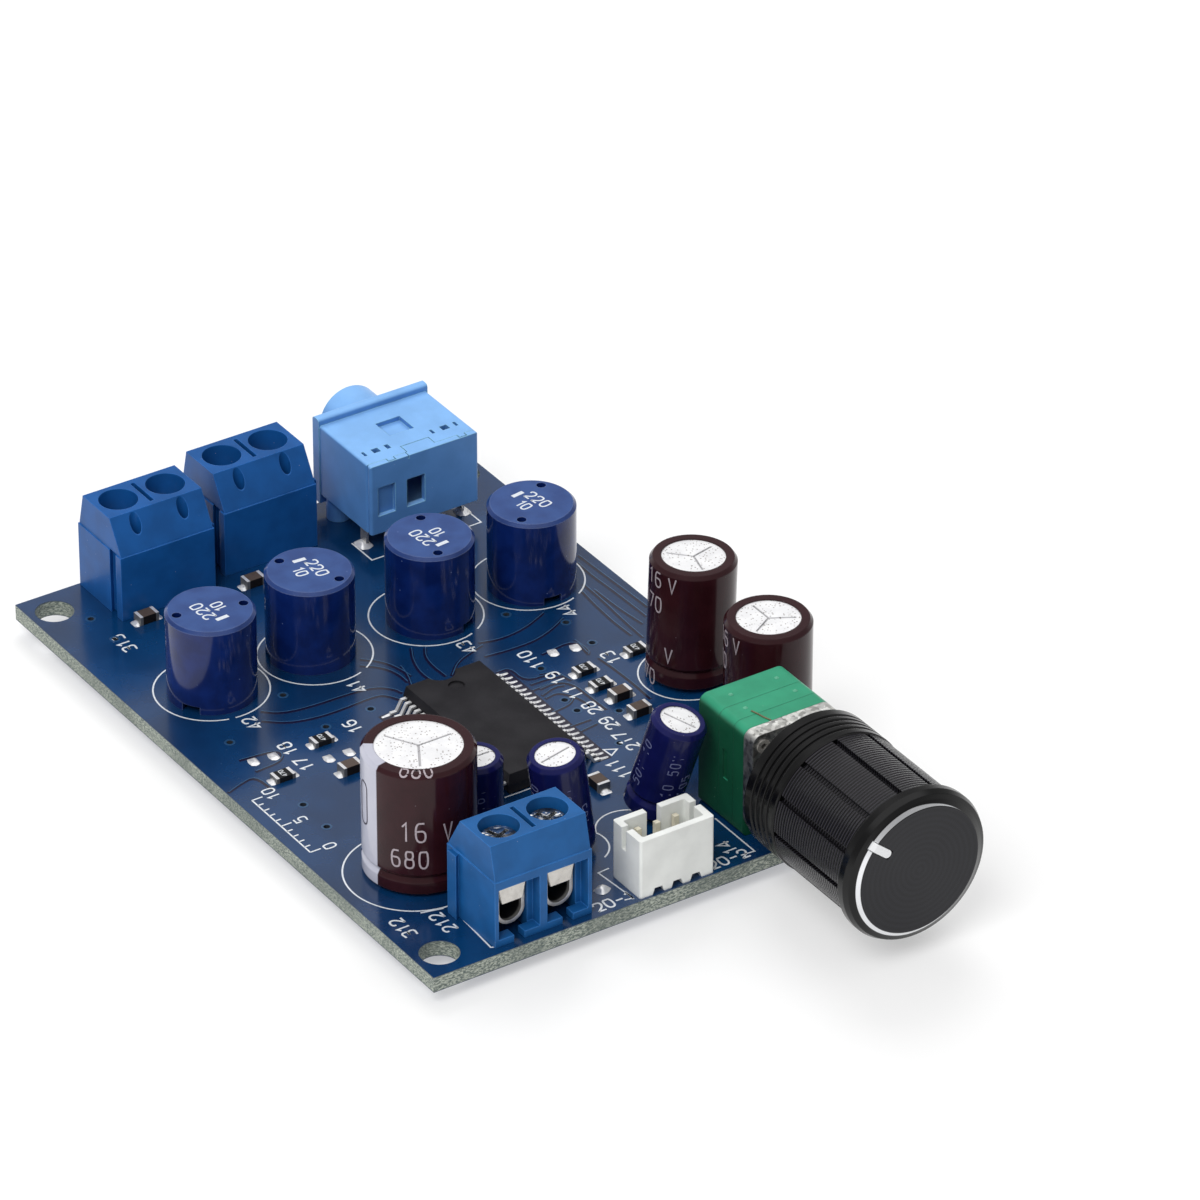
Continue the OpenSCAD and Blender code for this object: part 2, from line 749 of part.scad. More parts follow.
module jack_housing() {
    inner = jack_w / 2 - jack_wall;
    room_h = jack_top - jack_bottom - jack_floor_t - jack_roof_t;
    color("SkyBlue") at_jack() difference() {
        union() {
            intersection() {
                slab(jack_w, cover_t, jack_back, jack_bottom, jack_top, jack_edge_r);
                soft_block([-jack_w / 2, cover_t, 0], [jack_w, jack_back, jack_top + 1], jack_edge_r);
            }
            jack_ledge();
            translate([0, jack_back, barrel_z]) rotate([-90, 0, 0])
                cylinder(r = barrel_r, h = barrel_end - jack_back);
            for (s = [-1, 1]) translate([s * 4.75, jack_back - 1.1, 0])
                cylinder(r = post_r, h = jack_bottom + 0.2);
            jack_lugs(0);
        }
        block(
            [-inner, cover_t - 0.1, jack_bottom + jack_floor_t],
            [2 * inner, jack_back - cover_t - jack_wall, room_h]
        );
        translate([0, 1, barrel_z]) rotate([-90, 0, 0]) cylinder(r = socket_r, h = barrel_end);
        jack_tongue(0.08);
        block([-1.35, 4, jack_top - 0.5], [2.7, 2.6, 2]);
        for (slot = jack_slots) block([slot[0], 2.1, jack_top - slot[2]], [slot[1], 0.75, 2]);
        for (s = [-1, 1]) block(
            [s * jack_side_x - 0.2, 1.75, jack_bottom - 0.3],
            [0.4, 1.1, contact_top - jack_bottom + 0.7]
        );
        for (x = [-2.4, 2.4]) block([x - 0.6, 1, jack_bottom - 0.3], [1.2, 0.4, 2]);
        block([-0.6, 7.4, jack_bottom - 0.3], [1.2, 0.4, 2]);
    }
}

module jack_rear_cover() {
    color("DeepSkyBlue") at_jack() difference() {
        union() {
            intersection() {
                slab(jack_w, 0, cover_t - slip, jack_bottom, jack_top, jack_edge_r);
                soft_block([-jack_w / 2, 0, 0], [jack_w, cover_t - slip, jack_top + 1], jack_edge_r);
            }
            block([-1.5, 0.1, jack_top - 0.6], [3, 1.65, 0.6]);
        }
        jack_lugs(lug_gap);
        block([-5.2, -1, 4.2], [1.9, 1.4, 3.1]);
        block([-2, -1, 4.2], [2, 3, 3]);
        block([-1.8, -1, jack_top - 0.35], [0.1, 3, 1]);
    }
}

module jack_side_contact() {
    block([-contact_t / 2, -0.5, -board_t], [contact_t, 1, board_t + contact_top]);
    translate([0, 0, contact_top - spring_w]) linear_extrude(spring_w - 0.4) polygon([
        [0, -0.4], [0.15, -0.4], [3, 1.2], [3.45, 3.2], [3, 4.6],
        [2.7, 4.5], [3.1, 3.2], [2.75, 1.4], [0, -0.1]
    ]);
}

module jack_contacts() {
    color("Silver") at_jack() {
        translate([-jack_side_x, 2.3, 0]) jack_side_contact();
        translate([jack_side_x, 2.3, 0]) mirror([1, 0, 0]) jack_side_contact();
        for (x = [-2.4, 2.4]) block([x - 0.5, 1.05, -board_t], [1, contact_t, board_t + 5.2]);
        block([-0.5, 7.45, -board_t], [1, contact_t, board_t + barrel_z - socket_r - 0.05]);
    }
}

// Potentiometer: own frame on the shaft axis, y as on the board
module at_axis() {
    on_board([pot_x, 0], axis_h) children();
}

module rod_y(r, from, to) {
    translate([0, from, 0]) rotate([-90, 0, 0]) cylinder(r = r, h = to - from);
}

module pot_outline(foot_r) {
    w = pot_w / 2;
    top = pot_h - axis_h;
    translate([-w, foot_r - axis_h]) square([pot_w, pot_h - foot_r - pot_edge_r]);
    translate([pot_edge_r - w, 0]) square([pot_w - 2 * pot_edge_r, top]);
    translate([foot_r - w, -axis_h]) square([pot_w - 2 * foot_r, axis_h]);
    for (s = [-1, 1]) {
        translate([s * (w - pot_edge_r), top - pot_edge_r]) circle(r = pot_edge_r);
        translate([s * (w - foot_r), foot_r - axis_h]) circle(r = foot_r);
    }
}

module pot_layer(from, depth, foot_r = 0.6) {
    difference() {
        translate([0, from + depth, 0]) rotate([90, 0, 0]) linear_extrude(depth) pot_outline(foot_r);
        for (s = [-1, 1]) translate([s * rivet_x, 0, rivet_z])
            rod_y(rivet_r + slip, from - 1, from + depth + 1);
        for (p = pot_pins) translate([p[0], p[1], -axis_h - 1])
            cylinder(r = pot_pin_r + slip, h = 1 + pot_pin_in + slip);
    }
}

module potentiometer_front_plate() {
    color("LightGray") at_axis() difference() {
        union() {
            pot_layer(plate_y, plate_t, 2.6);
            rod_y(bush_r, plate_y - bush_l, plate_y + plate_t / 2);
        }
        rod_y(shaft_r + shaft_gap, plate_y - bush_l - 1, plate_y + plate_t + 1);
    }
}

module potentiometer_front_deck() {
    y = plate_y + plate_t;
    color("SeaGreen") at_axis() difference() {
        pot_layer(y, front_deck_t);
        rod_y(journal_r + shaft_gap, y - 1, y + front_deck_t + 1);
    }
}

module potentiometer_rear_deck() {
    y = plate_y + plate_t + front_deck_t;
    color("MediumSeaGreen") at_axis() difference() {
        pot_layer(y, rear_deck_t);
        rod_y(journal_r + shaft_gap, y - 1, y + rear_deck_t + 1);
        for (s = [-1, 1]) block([s * pot_w / 2 - 0.15, y + 0.8, -1.8], [0.3, 0.8, 3.1]);
    }
}

module potentiometer_rear_cover() {
    y = plate_y + plate_t + front_deck_t + rear_deck_t;
    color("SeaGreen") at_axis() pot_layer(y, cover_d);
}

module potentiometer_rivets() {
    back = plate_y + plate_t + front_deck_t + rear_deck_t + cover_d;
    color("Silver") at_axis() for (s = [-1, 1]) translate([s * rivet_x, 0, rivet_z]) difference() {
        union() {
            rod_y(rivet_head_r, plate_y - 0.15, plate_y);
            rod_y(rivet_r, plate_y - 0.1, back + 0.1);
            rod_y(rivet_head_r, back, back + 0.15);
        }
        rod_y(0.28, plate_y - 1, back + 1);
    }
}

module potentiometer_shaft() {
    shoulder = plate_y + plate_t - 0.05;
    color("Silver") at_axis() {
        rod_y(shaft_r, knob_back - shaft_end + 0.1, shoulder);
        rod_y(journal_r, shoulder - 0.1, plate_y + plate_t + front_deck_t + rear_deck_t - 0.05);
    }
}

module potentiometer_pins() {
    color("Silver") for (p = pot_pin_places) on_board(p, -board_t)
        cylinder(r = pot_pin_r, h = board_t + pot_pin_in);
}

// Knob: turned collar with fine rings, grooved grip and a wider front band
module volume_knob() {
    front = knob_back - knob_l;
    color("Black") at_axis() difference() {
        translate([0, knob_back, 0]) rotate([90, 0, 0]) rotate_extrude() polygon([
            [0, 0], [grip_r + 0.1, 0], [grip_r + 0.1, 0.9], [grip_r - 0.1, 1], [grip_r - 0.1, 1.2],
            [grip_r + 0.1, 1.3], [grip_r + 0.1, 1.7], [grip_r - 0.1, 1.8], [grip_r - 0.1, 2],
            [grip_r + 0.1, 2.1], [grip_r + 0.1, 2.5], [grip_r - 0.1, 2.6], [grip_r - 0.1, 2.8],
            [grip_r + 0.1, 2.9], [grip_r + 0.1, 3.3], [grip_r - 0.1, 3.4], [grip_r - 0.1, 3.6],
            [grip_r + 0.1, 3.7], [grip_r + 0.1, collar_l], [grip_r, collar_l + 0.1],
            [grip_r, knob_l - band_l - 0.4], [knob_r, knob_l - band_l], [knob_r, knob_l - 1.1],
            [knob_r - 0.25, knob_l - 0.55], [knob_r - 0.65, knob_l - 0.35], [face_r, knob_l], [0, knob_l]
        ]);
        for (i = [0:knob_grooves - 1]) rotate([0, -5 - i * 360 / knob_grooves, 0]) block(
            [grip_r - groove_depth, front + band_l + 0.5, -groove_w / 2],
            [2, knob_l - collar_l - band_l - 0.7, groove_w]
        );
        rod_y(shaft_r + slip, knob_back - shaft_end, 5);
        rod_y(bush_room_r, knob_back - bush_l + 1, 5);
        rotate([0, -pointer_angle, 0]) block([4.2, front - 1, -0.45], [knob_r, 1.4, 0.9]);
    }
}

module chip_body(p, h) {
    on_board(p) rotate([0, 0, p[2]]) block(
        [-chip_size[0] / 2 + end_t, -chip_size[1] / 2, 0.03],
        [chip_size[0] - 2 * end_t, chip_size[1], h - 0.03]
    );
}

module chip_ends(p, h) {
    on_board(p) rotate([0, 0, p[2]]) for (s = [-1, 1])
        block([s * (chip_size[0] - end_t) / 2 - end_t / 2, -chip_size[1] / 2, 0], [end_t, chip_size[1], h]);
}

module chip_resistor_bodies() {
    color("Black") for (p = resistors) chip_body(p, resistor_h);
}

module chip_capacitor_bodies() {
    color("Tan") for (p = chip_caps) chip_body(p, chip_cap_h);
}

module chip_end_caps() {
    color("Silver") {
        for (p = resistors) chip_ends(p, resistor_h);
        for (p = chip_caps) chip_ends(p, chip_cap_h);
    }
}

circuit_board();
solder_joints();
power_terminal_housing();
left_speaker_terminal_housing();
right_speaker_terminal_housing();
power_terminal_cages();
left_speaker_terminal_cages();
right_speaker_terminal_cages();
power_screw_1();
power_screw_2();
left_speaker_screw_1();
left_speaker_screw_2();
right_speaker_screw_1();
right_speaker_screw_2();
power_wire_guard_1();
power_wire_guard_2();
left_speaker_wire_guard_1();
left_speaker_wire_guard_2();
right_speaker_wire_guard_1();
right_speaker_wire_guard_2();
header_housing();
header_pins();
amplifier_chip_body();
amplifier_chip_leads();
inductor_cap_1();
inductor_cap_2();
inductor_cap_3();
inductor_cap_4();
inductor_cores();
inductor_windings();
inductor_leads();
large_capacitor_sleeve();
large_capacitor_can();
front_capacitor_sleeve();
front_capacitor_can();
rear_capacitor_sleeve();
rear_capacitor_can();
short_capacitor_sleeve();
short_capacitor_can();
left_small_capacitor_sleeve();
left_small_capacitor_can();
right_small_capacitor_sleeve();
right_small_capacitor_can();
capacitor_bungs();
capacitor_leads();
jack_housing();
jack_rear_cover();
jack_contacts();
potentiometer_rear_cover();
potentiometer_rear_deck();
potentiometer_front_deck();
potentiometer_front_plate();
potentiometer_rivets();
potentiometer_shaft();
potentiometer_pins();
volume_knob();
chip_resistor_bodies();
chip_capacitor_bodies();
chip_end_caps();
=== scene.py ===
"""Looks of a small stereo audio amplifier board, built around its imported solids."""
from math import atan2, cos, hypot, radians, sin, sqrt, tau

import bpy
from mathutils import Matrix, Vector


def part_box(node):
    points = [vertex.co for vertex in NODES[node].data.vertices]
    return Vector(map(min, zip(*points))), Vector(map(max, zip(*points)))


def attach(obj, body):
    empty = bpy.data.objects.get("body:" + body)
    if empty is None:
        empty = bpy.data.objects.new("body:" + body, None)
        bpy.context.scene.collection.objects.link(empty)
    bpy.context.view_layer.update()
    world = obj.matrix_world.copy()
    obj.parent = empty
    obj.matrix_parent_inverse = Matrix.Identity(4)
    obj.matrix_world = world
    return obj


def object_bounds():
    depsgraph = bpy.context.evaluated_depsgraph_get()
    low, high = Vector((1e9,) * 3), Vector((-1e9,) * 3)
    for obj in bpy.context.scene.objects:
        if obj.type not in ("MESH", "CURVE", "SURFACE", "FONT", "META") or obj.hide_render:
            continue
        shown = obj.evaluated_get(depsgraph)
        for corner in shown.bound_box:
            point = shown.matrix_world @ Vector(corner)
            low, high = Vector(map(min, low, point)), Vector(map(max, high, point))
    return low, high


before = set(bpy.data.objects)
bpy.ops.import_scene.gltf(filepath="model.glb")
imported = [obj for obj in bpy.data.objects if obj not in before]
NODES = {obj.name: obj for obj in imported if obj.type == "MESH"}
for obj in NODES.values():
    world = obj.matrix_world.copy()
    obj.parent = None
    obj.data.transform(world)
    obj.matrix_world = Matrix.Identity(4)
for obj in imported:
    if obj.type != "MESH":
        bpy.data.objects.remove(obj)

MM = 0.001
CAD_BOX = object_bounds()
BOARD_LOW, BOARD_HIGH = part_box("circuit_board")

# Mounting holes, in mm from the middle of the board to either side
MOUNT_PLACE = (22.5, 33.5)

# The front of the knob, in mm from its axis: the edge of its turned face, and that of the cut chamfer
KNOB_FACE = 6.26
KNOB_CHAMFER = 6.66

# How far prints stand up from their surface and how far their sides reach into it, in mm
PRINT_LIFT = 0.012
SLEEVE_PRINT_LIFT = 0.02
PRINT_ROOT = -0.01

# Silkscreen: width of a line, and the foot of the millimetre scale on the board
LINE = 0.15
SCALE_FOOT = (1.3, 22.6)

# The studio: where the camera stands, in degrees, millimetres and board coordinates
CAMERA_AZIMUTH = -33.441
CAMERA_ELEVATION = 32.217
CAMERA_ROLL = 0.101
CAMERA_DISTANCE = 760.632
CAMERA_AIM = (25, 35, 0)
CAMERA_OFFSET = (-12.911, -10.086)
CAMERA_LENS = 248.806
CAMERA_SENSOR = 36

# The side of a round part that faces the camera, in degrees
FACING = CAMERA_AZIMUTH - 90

# How bright the surroundings are, with 1 as white: on matt surfaces, and mirrored from three heights
AMBIENT = 0.5
MIRROR_LOW = 0.85
MIRROR_MIDDLE = 0.4
MIRROR_OVERHEAD = 1.3


def srgb(red, green, blue):
    """A colour given in 0 to 255 screen values, as linear light."""
    def linear(part):
        part /= 255
        return part / 12.92 if part <= 0.04045 else ((part + 0.055) / 1.055) ** 2.4
    return (linear(red), linear(green), linear(blue), 1.0)


def shade(colour, factor, more=0.0):
    """The same colour, darker or lighter, or paler by some more white."""
    return tuple(min(1.0, part * factor + more) for part in colour[:3]) + (1.0,)


def both_ways(operation):
    """An operation of the Math node as an operator, and its reflected form."""
    return (lambda value, other: value.maths(operation, value, other),
            lambda value, other: value.maths(operation, other, value))


class Value:
    """An output of a shader node. Arithmetic on it adds Math nodes to the same tree."""

    __add__, __radd__ = both_ways("ADD")
    __sub__, __rsub__ = both_ways("SUBTRACT")
    __mul__, __rmul__ = both_ways("MULTIPLY")
    __pow__, __rpow__ = both_ways("POWER")

    def __init__(self, nodes, socket):
        self.nodes = nodes
        self.socket = socket

    def maths(self, operation, *terms):
        return self.nodes.node("Math", {"operation": operation}, dict(enumerate(terms)))

    def size(self):
        return self.maths("ABSOLUTE", self)

    def wave(self):
        """Its sine, brought between 0 and 1."""
        return self.maths("SINE", self) * 0.5 + 0.5

    def ramp(self, low, high, at_low=0.0, at_high=1.0):
        """0 below low, 1 above high and smooth between, or other levels; low may be the larger one."""
        return self.nodes.node("MapRange", {"interpolation_type": "SMOOTHSTEP"}, {
            "Value": self, "From Min": low, "From Max": high, "To Min": at_low, "To Max": at_high
        })


class Nodes:
    """A tree of shader nodes under construction."""

    def __init__(self, tree):
        self.tree = tree
        tree.nodes.clear()

    def feed(self, socket, value):
        if isinstance(value, Value):
            self.tree.links.new(value.socket, socket)
        else:
            socket.default_value = value

    def node(self, kind, settings=None, sockets=None, output=0):
        """Adds one node: its settings first, then the values or links of its sockets."""
        made = self.tree.nodes.new("ShaderNode" + kind)
        for key, value in (settings or {}).items():
            setattr(made, key, value)
        for key, value in (sockets or {}).items():
            self.feed(made.inputs[key], value)
        return Value(self, made.outputs[output]) if made.outputs else None

    def part(self, vector, index):
        """One coordinate of a vector, or one channel of a colour."""
        return self.node("SeparateXYZ", None, {0: vector}, index)


class Finish(Nodes):
    """A material under construction. Its coordinates are millimetres in the frame of the part."""

    def __init__(self, name, **constants):
        self.material = bpy.data.materials.new(name)
        self.material.use_nodes = True
        super().__init__(self.material.node_tree)
        skin = self.node("BsdfPrincipled")
        self.node("OutputMaterial", None, {"Surface": skin})
        self.sockets = skin.socket.node.inputs
        for socket, value in constants.items():
            self.set(socket.replace("_", " "), value)
        self.bevels = {}

    def set(self, socket, value):
        self.feed(self.sockets[socket], value)

    def vector(self, operation, first, second=(0, 0, 0), output=0):
        return self.node("VectorMath", {"operation": operation}, {0: first, 1: second}, output)

    def place(self, centre=(0, 0, 0)):
        """Where a point of the surface is, in mm from a centre given in mm."""
        metres = self.node("TexCoord", output="Object")
        scaled = self.vector("MULTIPLY", metres, (1 / MM,) * 3)
        return self.vector("SUBTRACT", scaled, tuple(centre))

    def axes(self, centre=(0, 0, 0)):
        apart = self.node("SeparateXYZ", None, {0: self.place(centre)}).socket.node
        return [Value(self, apart.outputs[i]) for i in range(3)]

    def normal(self):
        return self.node("NewGeometry", output="Normal")

    def upward(self, low=0.5, high=0.95):
        """1 on faces that look up, 0 on upright ones."""
        return self.part(self.normal(), 2).ramp(low, high)

    def spot(self, size, seed, stretch=(1, 1, 1)):
        """Where a point lies in a texture whose unit is size mm."""
        return self.vector("MULTIPLY", self.place((seed,) * 3), tuple(s / size for s in stretch))

    def noise(self, size, detail=2.0, roughness=0.5, stretch=(1, 1, 1), seed=0.0):
        """Cloudy variation from 0 to 1, with lumps about size mm across."""
        return self.node("TexNoise", None, {
            "Vector": self.spot(size, seed, stretch), "Scale": 1.0, "Detail": detail, "Roughness": roughness
        })

    def cells(self, size, output="Distance", seed=0.0):
        """Grains about size mm apart: how far the middle of the nearest one is, or a colour for each."""
        return self.node("TexVoronoi", None, {"Vector": self.spot(size, seed), "Scale": 1.0}, output)

    def mix(self, factor, first, second):
        """The first colour where the factor is 0, and the second where it is 1."""
        return self.node("Mix", {"data_type": "RGBA"}, {0: factor, 6: first, 7: second}, 2)

    def tones(self, share, colour, dark, light):
        """A colour that wanders between a darker and a lighter shade of itself."""
        return self.mix(share, shade(colour, dark), shade(colour, light))

    def painted_side_shade(self, tone, side, low=0.5, high=0.95):
        """Painted shade: a colour that is dimmed to the share side on upright faces."""
        return self.mix(self.upward(low, high), self.mix(side, (0, 0, 0, 1), tone), tone)

    def rounded(self, radius):
        """The normal of edges eased by a radius in mm."""
        if radius not in self.bevels:
            self.bevels[radius] = self.node("Bevel", {"samples": 4}, {"Radius": radius * MM})
        return self.bevels[radius]

    def edges(self, radius):
        """1 on the edges, 0 on flat faces."""
        facing = self.vector("DOT_PRODUCT", self.rounded(radius), self.normal(), "Value")
        return (1.0 - facing).ramp(0.004, 0.12)

    def bump(self, height, depth, strength=1.0, ease=0.0, under=None):
        """A relief of depth mm, on edges eased by a radius in mm or on the normal given as under."""
        sockets = {"Height": height, "Distance": depth * MM, "Strength": strength}
        if ease:
            under = self.rounded(ease)
        if under:
            sockets["Normal"] = under
        return self.node("Bump", None, sockets)

    def done(self, tone, roughness, relief):
        """The material, with the colour, the roughness and the normal that every finish has."""
        for socket, value in (("Base Color", tone), ("Roughness", roughness), ("Normal", relief)):
            self.set(socket, value)
        return self.material


def moulded(name, colour, roughness=0.34, ease=0.1, mottle=0.12, edge_and_speck_share=0.35, edge=None, side=None):
    """Injection-moulded plastic: faint flow clouds, fine skin grain and eased edges that catch the light,
    the edges painted paler as partly rubbed wear and partly painted highlight. edge is the colour of its
    edges and side that of upright faces, where they differ; side is a darker colour of painted shade."""
    finish = Finish(name, Specular_IOR_Level=0.22)
    clouds = finish.noise(2.6, 3.0)
    skin = finish.noise(0.11, seed=3.0)
    flow = clouds.ramp(0.3, 0.7)
    tone = finish.tones(flow, colour, 1 - mottle, 1 + mottle)
    if side:
        # Painted shade: upright faces take the darker side colour.
        upright = finish.tones(flow, side, 1 - mottle, 1 + mottle)
        tone = finish.mix(finish.upward(0.2, 0.8), upright, tone)
    specks = finish.cells(1.1, seed=7.0).ramp(0.05, 0.025) * edge_and_speck_share
    # Painted highlight and rubbed wear: edges turn paler, unless edge gives them another colour.
    edge_tint_mask = finish.edges(ease) * edge_and_speck_share * clouds.ramp(0.15, 0.5)
    tone = finish.mix(edge_tint_mask, tone, edge or shade(colour, 2.2, 0.03))
    tone = finish.mix(specks, tone, shade(colour, 0.6, 0.3))
    return finish.done(tone, skin * 0.12 + (roughness - 0.06) + clouds * 0.05,
                       finish.bump(skin, 0.006, 0.35, ease))


def plated(name, colour, roughness=0.22, metallic=0.75, side=1.0):
    """Nickel or tin plating: bright, with faint drawing marks and small dull spots.
    side is how bright upright faces are beside level ones, as painted shade."""
    finish = Finish(name, Metallic=metallic)
    clouds = finish.noise(0.9, 3.0)
    marks = finish.noise(0.25, stretch=(1, 6, 1))
    tone = finish.tones(clouds.ramp(0.3, 0.75), colour, 0.88, 1.12)
    tone = finish.mix(finish.cells(0.8, seed=2.0).ramp(0.12, 0.05) * 0.5, tone, shade(colour, 0.5))
    # Painted shade: upright faces dimmed by side.
    return finish.done(finish.painted_side_shade(tone, side, 0.1, 0.7),
                       clouds * 0.12 + marks * 0.1 + (roughness - 0.1),
                       finish.bump(marks, 0.004, 0.4, 0.06))


def cage_finish(name, node, opens_back):
    """Plated clamp cage: bright at its mouth, and painted shade that makes it nearly black inside."""
    finish = Finish(name)
    low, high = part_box(node)
    depth = finish.axes((0, (high.y if opens_back else low.y) / MM, 0))[1].size()
    # Painted shade: going into the cage, the colour turns dark and less metallic.
    painted_shade_inside = depth.ramp(0.12, 0.5)
    clouds = finish.noise(0.9, 3.0)
    bright = finish.mix(clouds.ramp(0.3, 0.75), srgb(196, 192, 186), srgb(222, 219, 214))
    dark = finish.mix(clouds, srgb(8, 8, 9), srgb(34, 34, 34))
    finish.set("Metallic", 0.8 - painted_shade_inside * 0.8)
    return finish.done(finish.mix(painted_shade_inside, bright, dark), clouds * 0.2 + 0.3,
                       finish.bump(clouds, 0.01, 0.4, 0.06))


def screw_finish():
    """Bright zinc plated screw head, worn wavy, with dark patches at random."""
    finish = Finish("screw_zinc", Metallic=0.95)
    dents = finish.noise(1.0)
    dark_patches = finish.noise(0.9, seed=4.0).ramp(0.5, 0.58)
    tone = finish.mix(dents.ramp(0.35, 0.6), srgb(150, 154, 160), srgb(252, 252, 252))
    return finish.done(finish.mix(dark_patches * 0.8, tone, srgb(40, 44, 52)), dark_patches * 0.3 + 0.1,
                       finish.bump(dents, 0.35, 1.0, 0.08))


def solder(name):
    """Bright tin-lead solder, slightly wavy, a little dull in spots, with painted shade on its upright
    faces.
    """
    finish = Finish(name, Metallic=0.5)
    clouds = finish.noise(0.5)
    tone = finish.mix(clouds.ramp(0.3, 0.7), srgb(224, 225, 228), srgb(252, 252, 253))
    # Painted shade: upright faces take a dark colour.
    return finish.done(finish.mix(finish.upward(0.15, 0.75), srgb(62, 59, 58), tone), clouds * 0.2 + 0.14,
                       finish.bump(clouds, 0.07, 0.9, 0.12))


def board_finish():
    """Blue solder mask above and below, and bare glass fibre at the cut edges and in the holes."""
    finish = Finish("board_mask_and_fibre", Coat_Roughness=0.16)
    x, y, height = finish.axes((BOARD_LOW + BOARD_HIGH) / 2 / MM)
    wide, deep, thick = (BOARD_HIGH - BOARD_LOW) / MM
    half = thick / 2
    depth = height.size()
    level = finish.part(finish.normal(), 2).size()
    mask = level.ramp(0.6, 0.9) * depth.ramp(half - 0.06, half - 0.03)
    clouds = finish.noise(6.0, 4.0, 0.55)
    patches = finish.noise(14.0, 1.0, seed=5.0)
    blue = finish.mix(clouds.ramp(0.3, 0.72), srgb(4, 46, 87), srgb(8, 58, 105))
    blue = finish.mix(patches.ramp(0.45, 0.62) * 0.35, blue, srgb(9, 33, 60))
    dust = finish.cells(1.3, seed=1.0).ramp(0.035, 0.015) * 0.3
    blue = finish.mix(dust, blue, srgb(150, 165, 185))
    plies = (height * 18.0 + finish.noise(1.2) * 2.0).wave()
    fibres = finish.noise(0.26, 3.0, 0.65, (1, 1, 2.2))
    resin = finish.mix(fibres.ramp(0.4, 0.62), srgb(80, 94, 94), srgb(190, 196, 184))
    resin = finish.mix(plies * 0.35, resin, srgb(128, 134, 118))
    resin = finish.mix(finish.noise(7.0, seed=11.0).ramp(0.4, 0.65) * 0.45, resin, srgb(86, 96, 92))
    resin = finish.mix(finish.cells(0.45, seed=6.0).ramp(0.16, 0.08) * 0.6, resin, srgb(212, 214, 200))
    resin = finish.mix(depth.ramp(half - 0.11, half - 0.04) * 0.75, resin, srgb(20, 46, 84))
    rim = x.size().ramp(wide / 2 - 0.3, wide / 2 - 0.2) + y.size().ramp(deep / 2 - 0.3, deep / 2 - 0.2)
    away = ((x.size() - MOUNT_PLACE[0]) ** 2 + (y.size() - MOUNT_PLACE[1]) ** 2) ** 0.5
    bare = rim + away.ramp(2.3, 2.2)
    resin = finish.mix(bare, finish.mix(fibres, srgb(22, 28, 40), srgb(58, 66, 76)), resin)
    finish.set("Coat Weight", mask * 0.9)
    ripple = finish.bump(finish.noise(0.5, stretch=(1, 1, 0)), 0.004, 0.35)
    return finish.done(finish.mix(mask, resin, blue),
                       finish.mix(mask, fibres * 0.3 + 0.5, clouds * 0.06 + 0.17),
                       finish.bump((1.0 - mask) * fibres, 0.08, 0.9, under=ripple))


def mask_over(name, colour):
    """Solder mask over a gap between copper areas, or over a raised ring of copper; also painted highlights
    beside the gaps and painted shadows under the chip's leads.
    """
    finish = Finish(name, Coat_Roughness=0.16, Coat_Weight=0.8)
    clouds = finish.noise(2.0, 3.0)
    return finish.done(finish.tones(clouds, colour, 0.8, 1.25), clouds * 0.1 + 0.1,
                       finish.bump(finish.noise(0.4), 0.004, 0.4, 0.05))


def printing(name, colour, roughness=0.55, patchy=0.3):
    """Screen-printed ink with a slightly starved, uneven cover."""
    finish = Finish(name)
    cover = finish.noise(0.16, 3.0)
    return finish.done(finish.mix(cover.ramp(0.2, 0.55), shade(colour, 1 - patchy), colour),
                       cover * 0.15 + (roughness - 0.08), finish.bump(cover, 0.006, 0.5))


def chip_resin():
    """Dark moulding compound with a fine sparkle of filler."""
    finish = Finish("chip_resin", Specular_IOR_Level=0.15)
    grains = finish.noise(0.06)
    clouds = finish.noise(3.0, 3.0)
    grey = finish.mix(clouds.ramp(0.3, 0.7), srgb(30, 29, 32), srgb(40, 39, 42))
    grey = finish.mix(finish.cells(0.09).ramp(0.22, 0.1) * 0.25, grey, srgb(112, 112, 116))
    return finish.done(grey, grains * 0.15 + 0.42, finish.bump(grains, 0.012, 0.7, 0.05))


def inductor_finish():
    """Deep blue shell: glossy drawn sides and a finely matt top face. Its top is painted lighter than its
    sides as painted light, its edges paler as painted highlight and wear, with pale specks.
    """
    finish = Finish("inductor_blue", Coat_Weight=0.15, Coat_Roughness=0.05, Specular_IOR_Level=0.35)
    up = finish.upward()
    clouds = finish.noise(2.2, 3.0)
    skin = finish.noise(0.07)
    # Painted light: the top is a lighter copy of the sides' blue.
    side = finish.mix(clouds.ramp(0.3, 0.7), srgb(9, 28, 82), srgb(14, 38, 102))
    top = finish.mix(clouds.ramp(0.3, 0.7), srgb(36, 64, 122), srgb(46, 78, 138))
    # Painted highlight and wear: paler edges and specks.
    edge_tint_mask = finish.edges(0.12) * 0.4 + finish.cells(1.5).ramp(0.05, 0.02) * 0.5
    return finish.done(finish.mix(edge_tint_mask, finish.mix(up, side, top), srgb(140, 160, 205)),
                       up * 0.22 + clouds * 0.04 + 0.09 + skin * 0.04,
                       finish.bump(skin, 0.006, up * 0.5 + 0.06, 0.12))


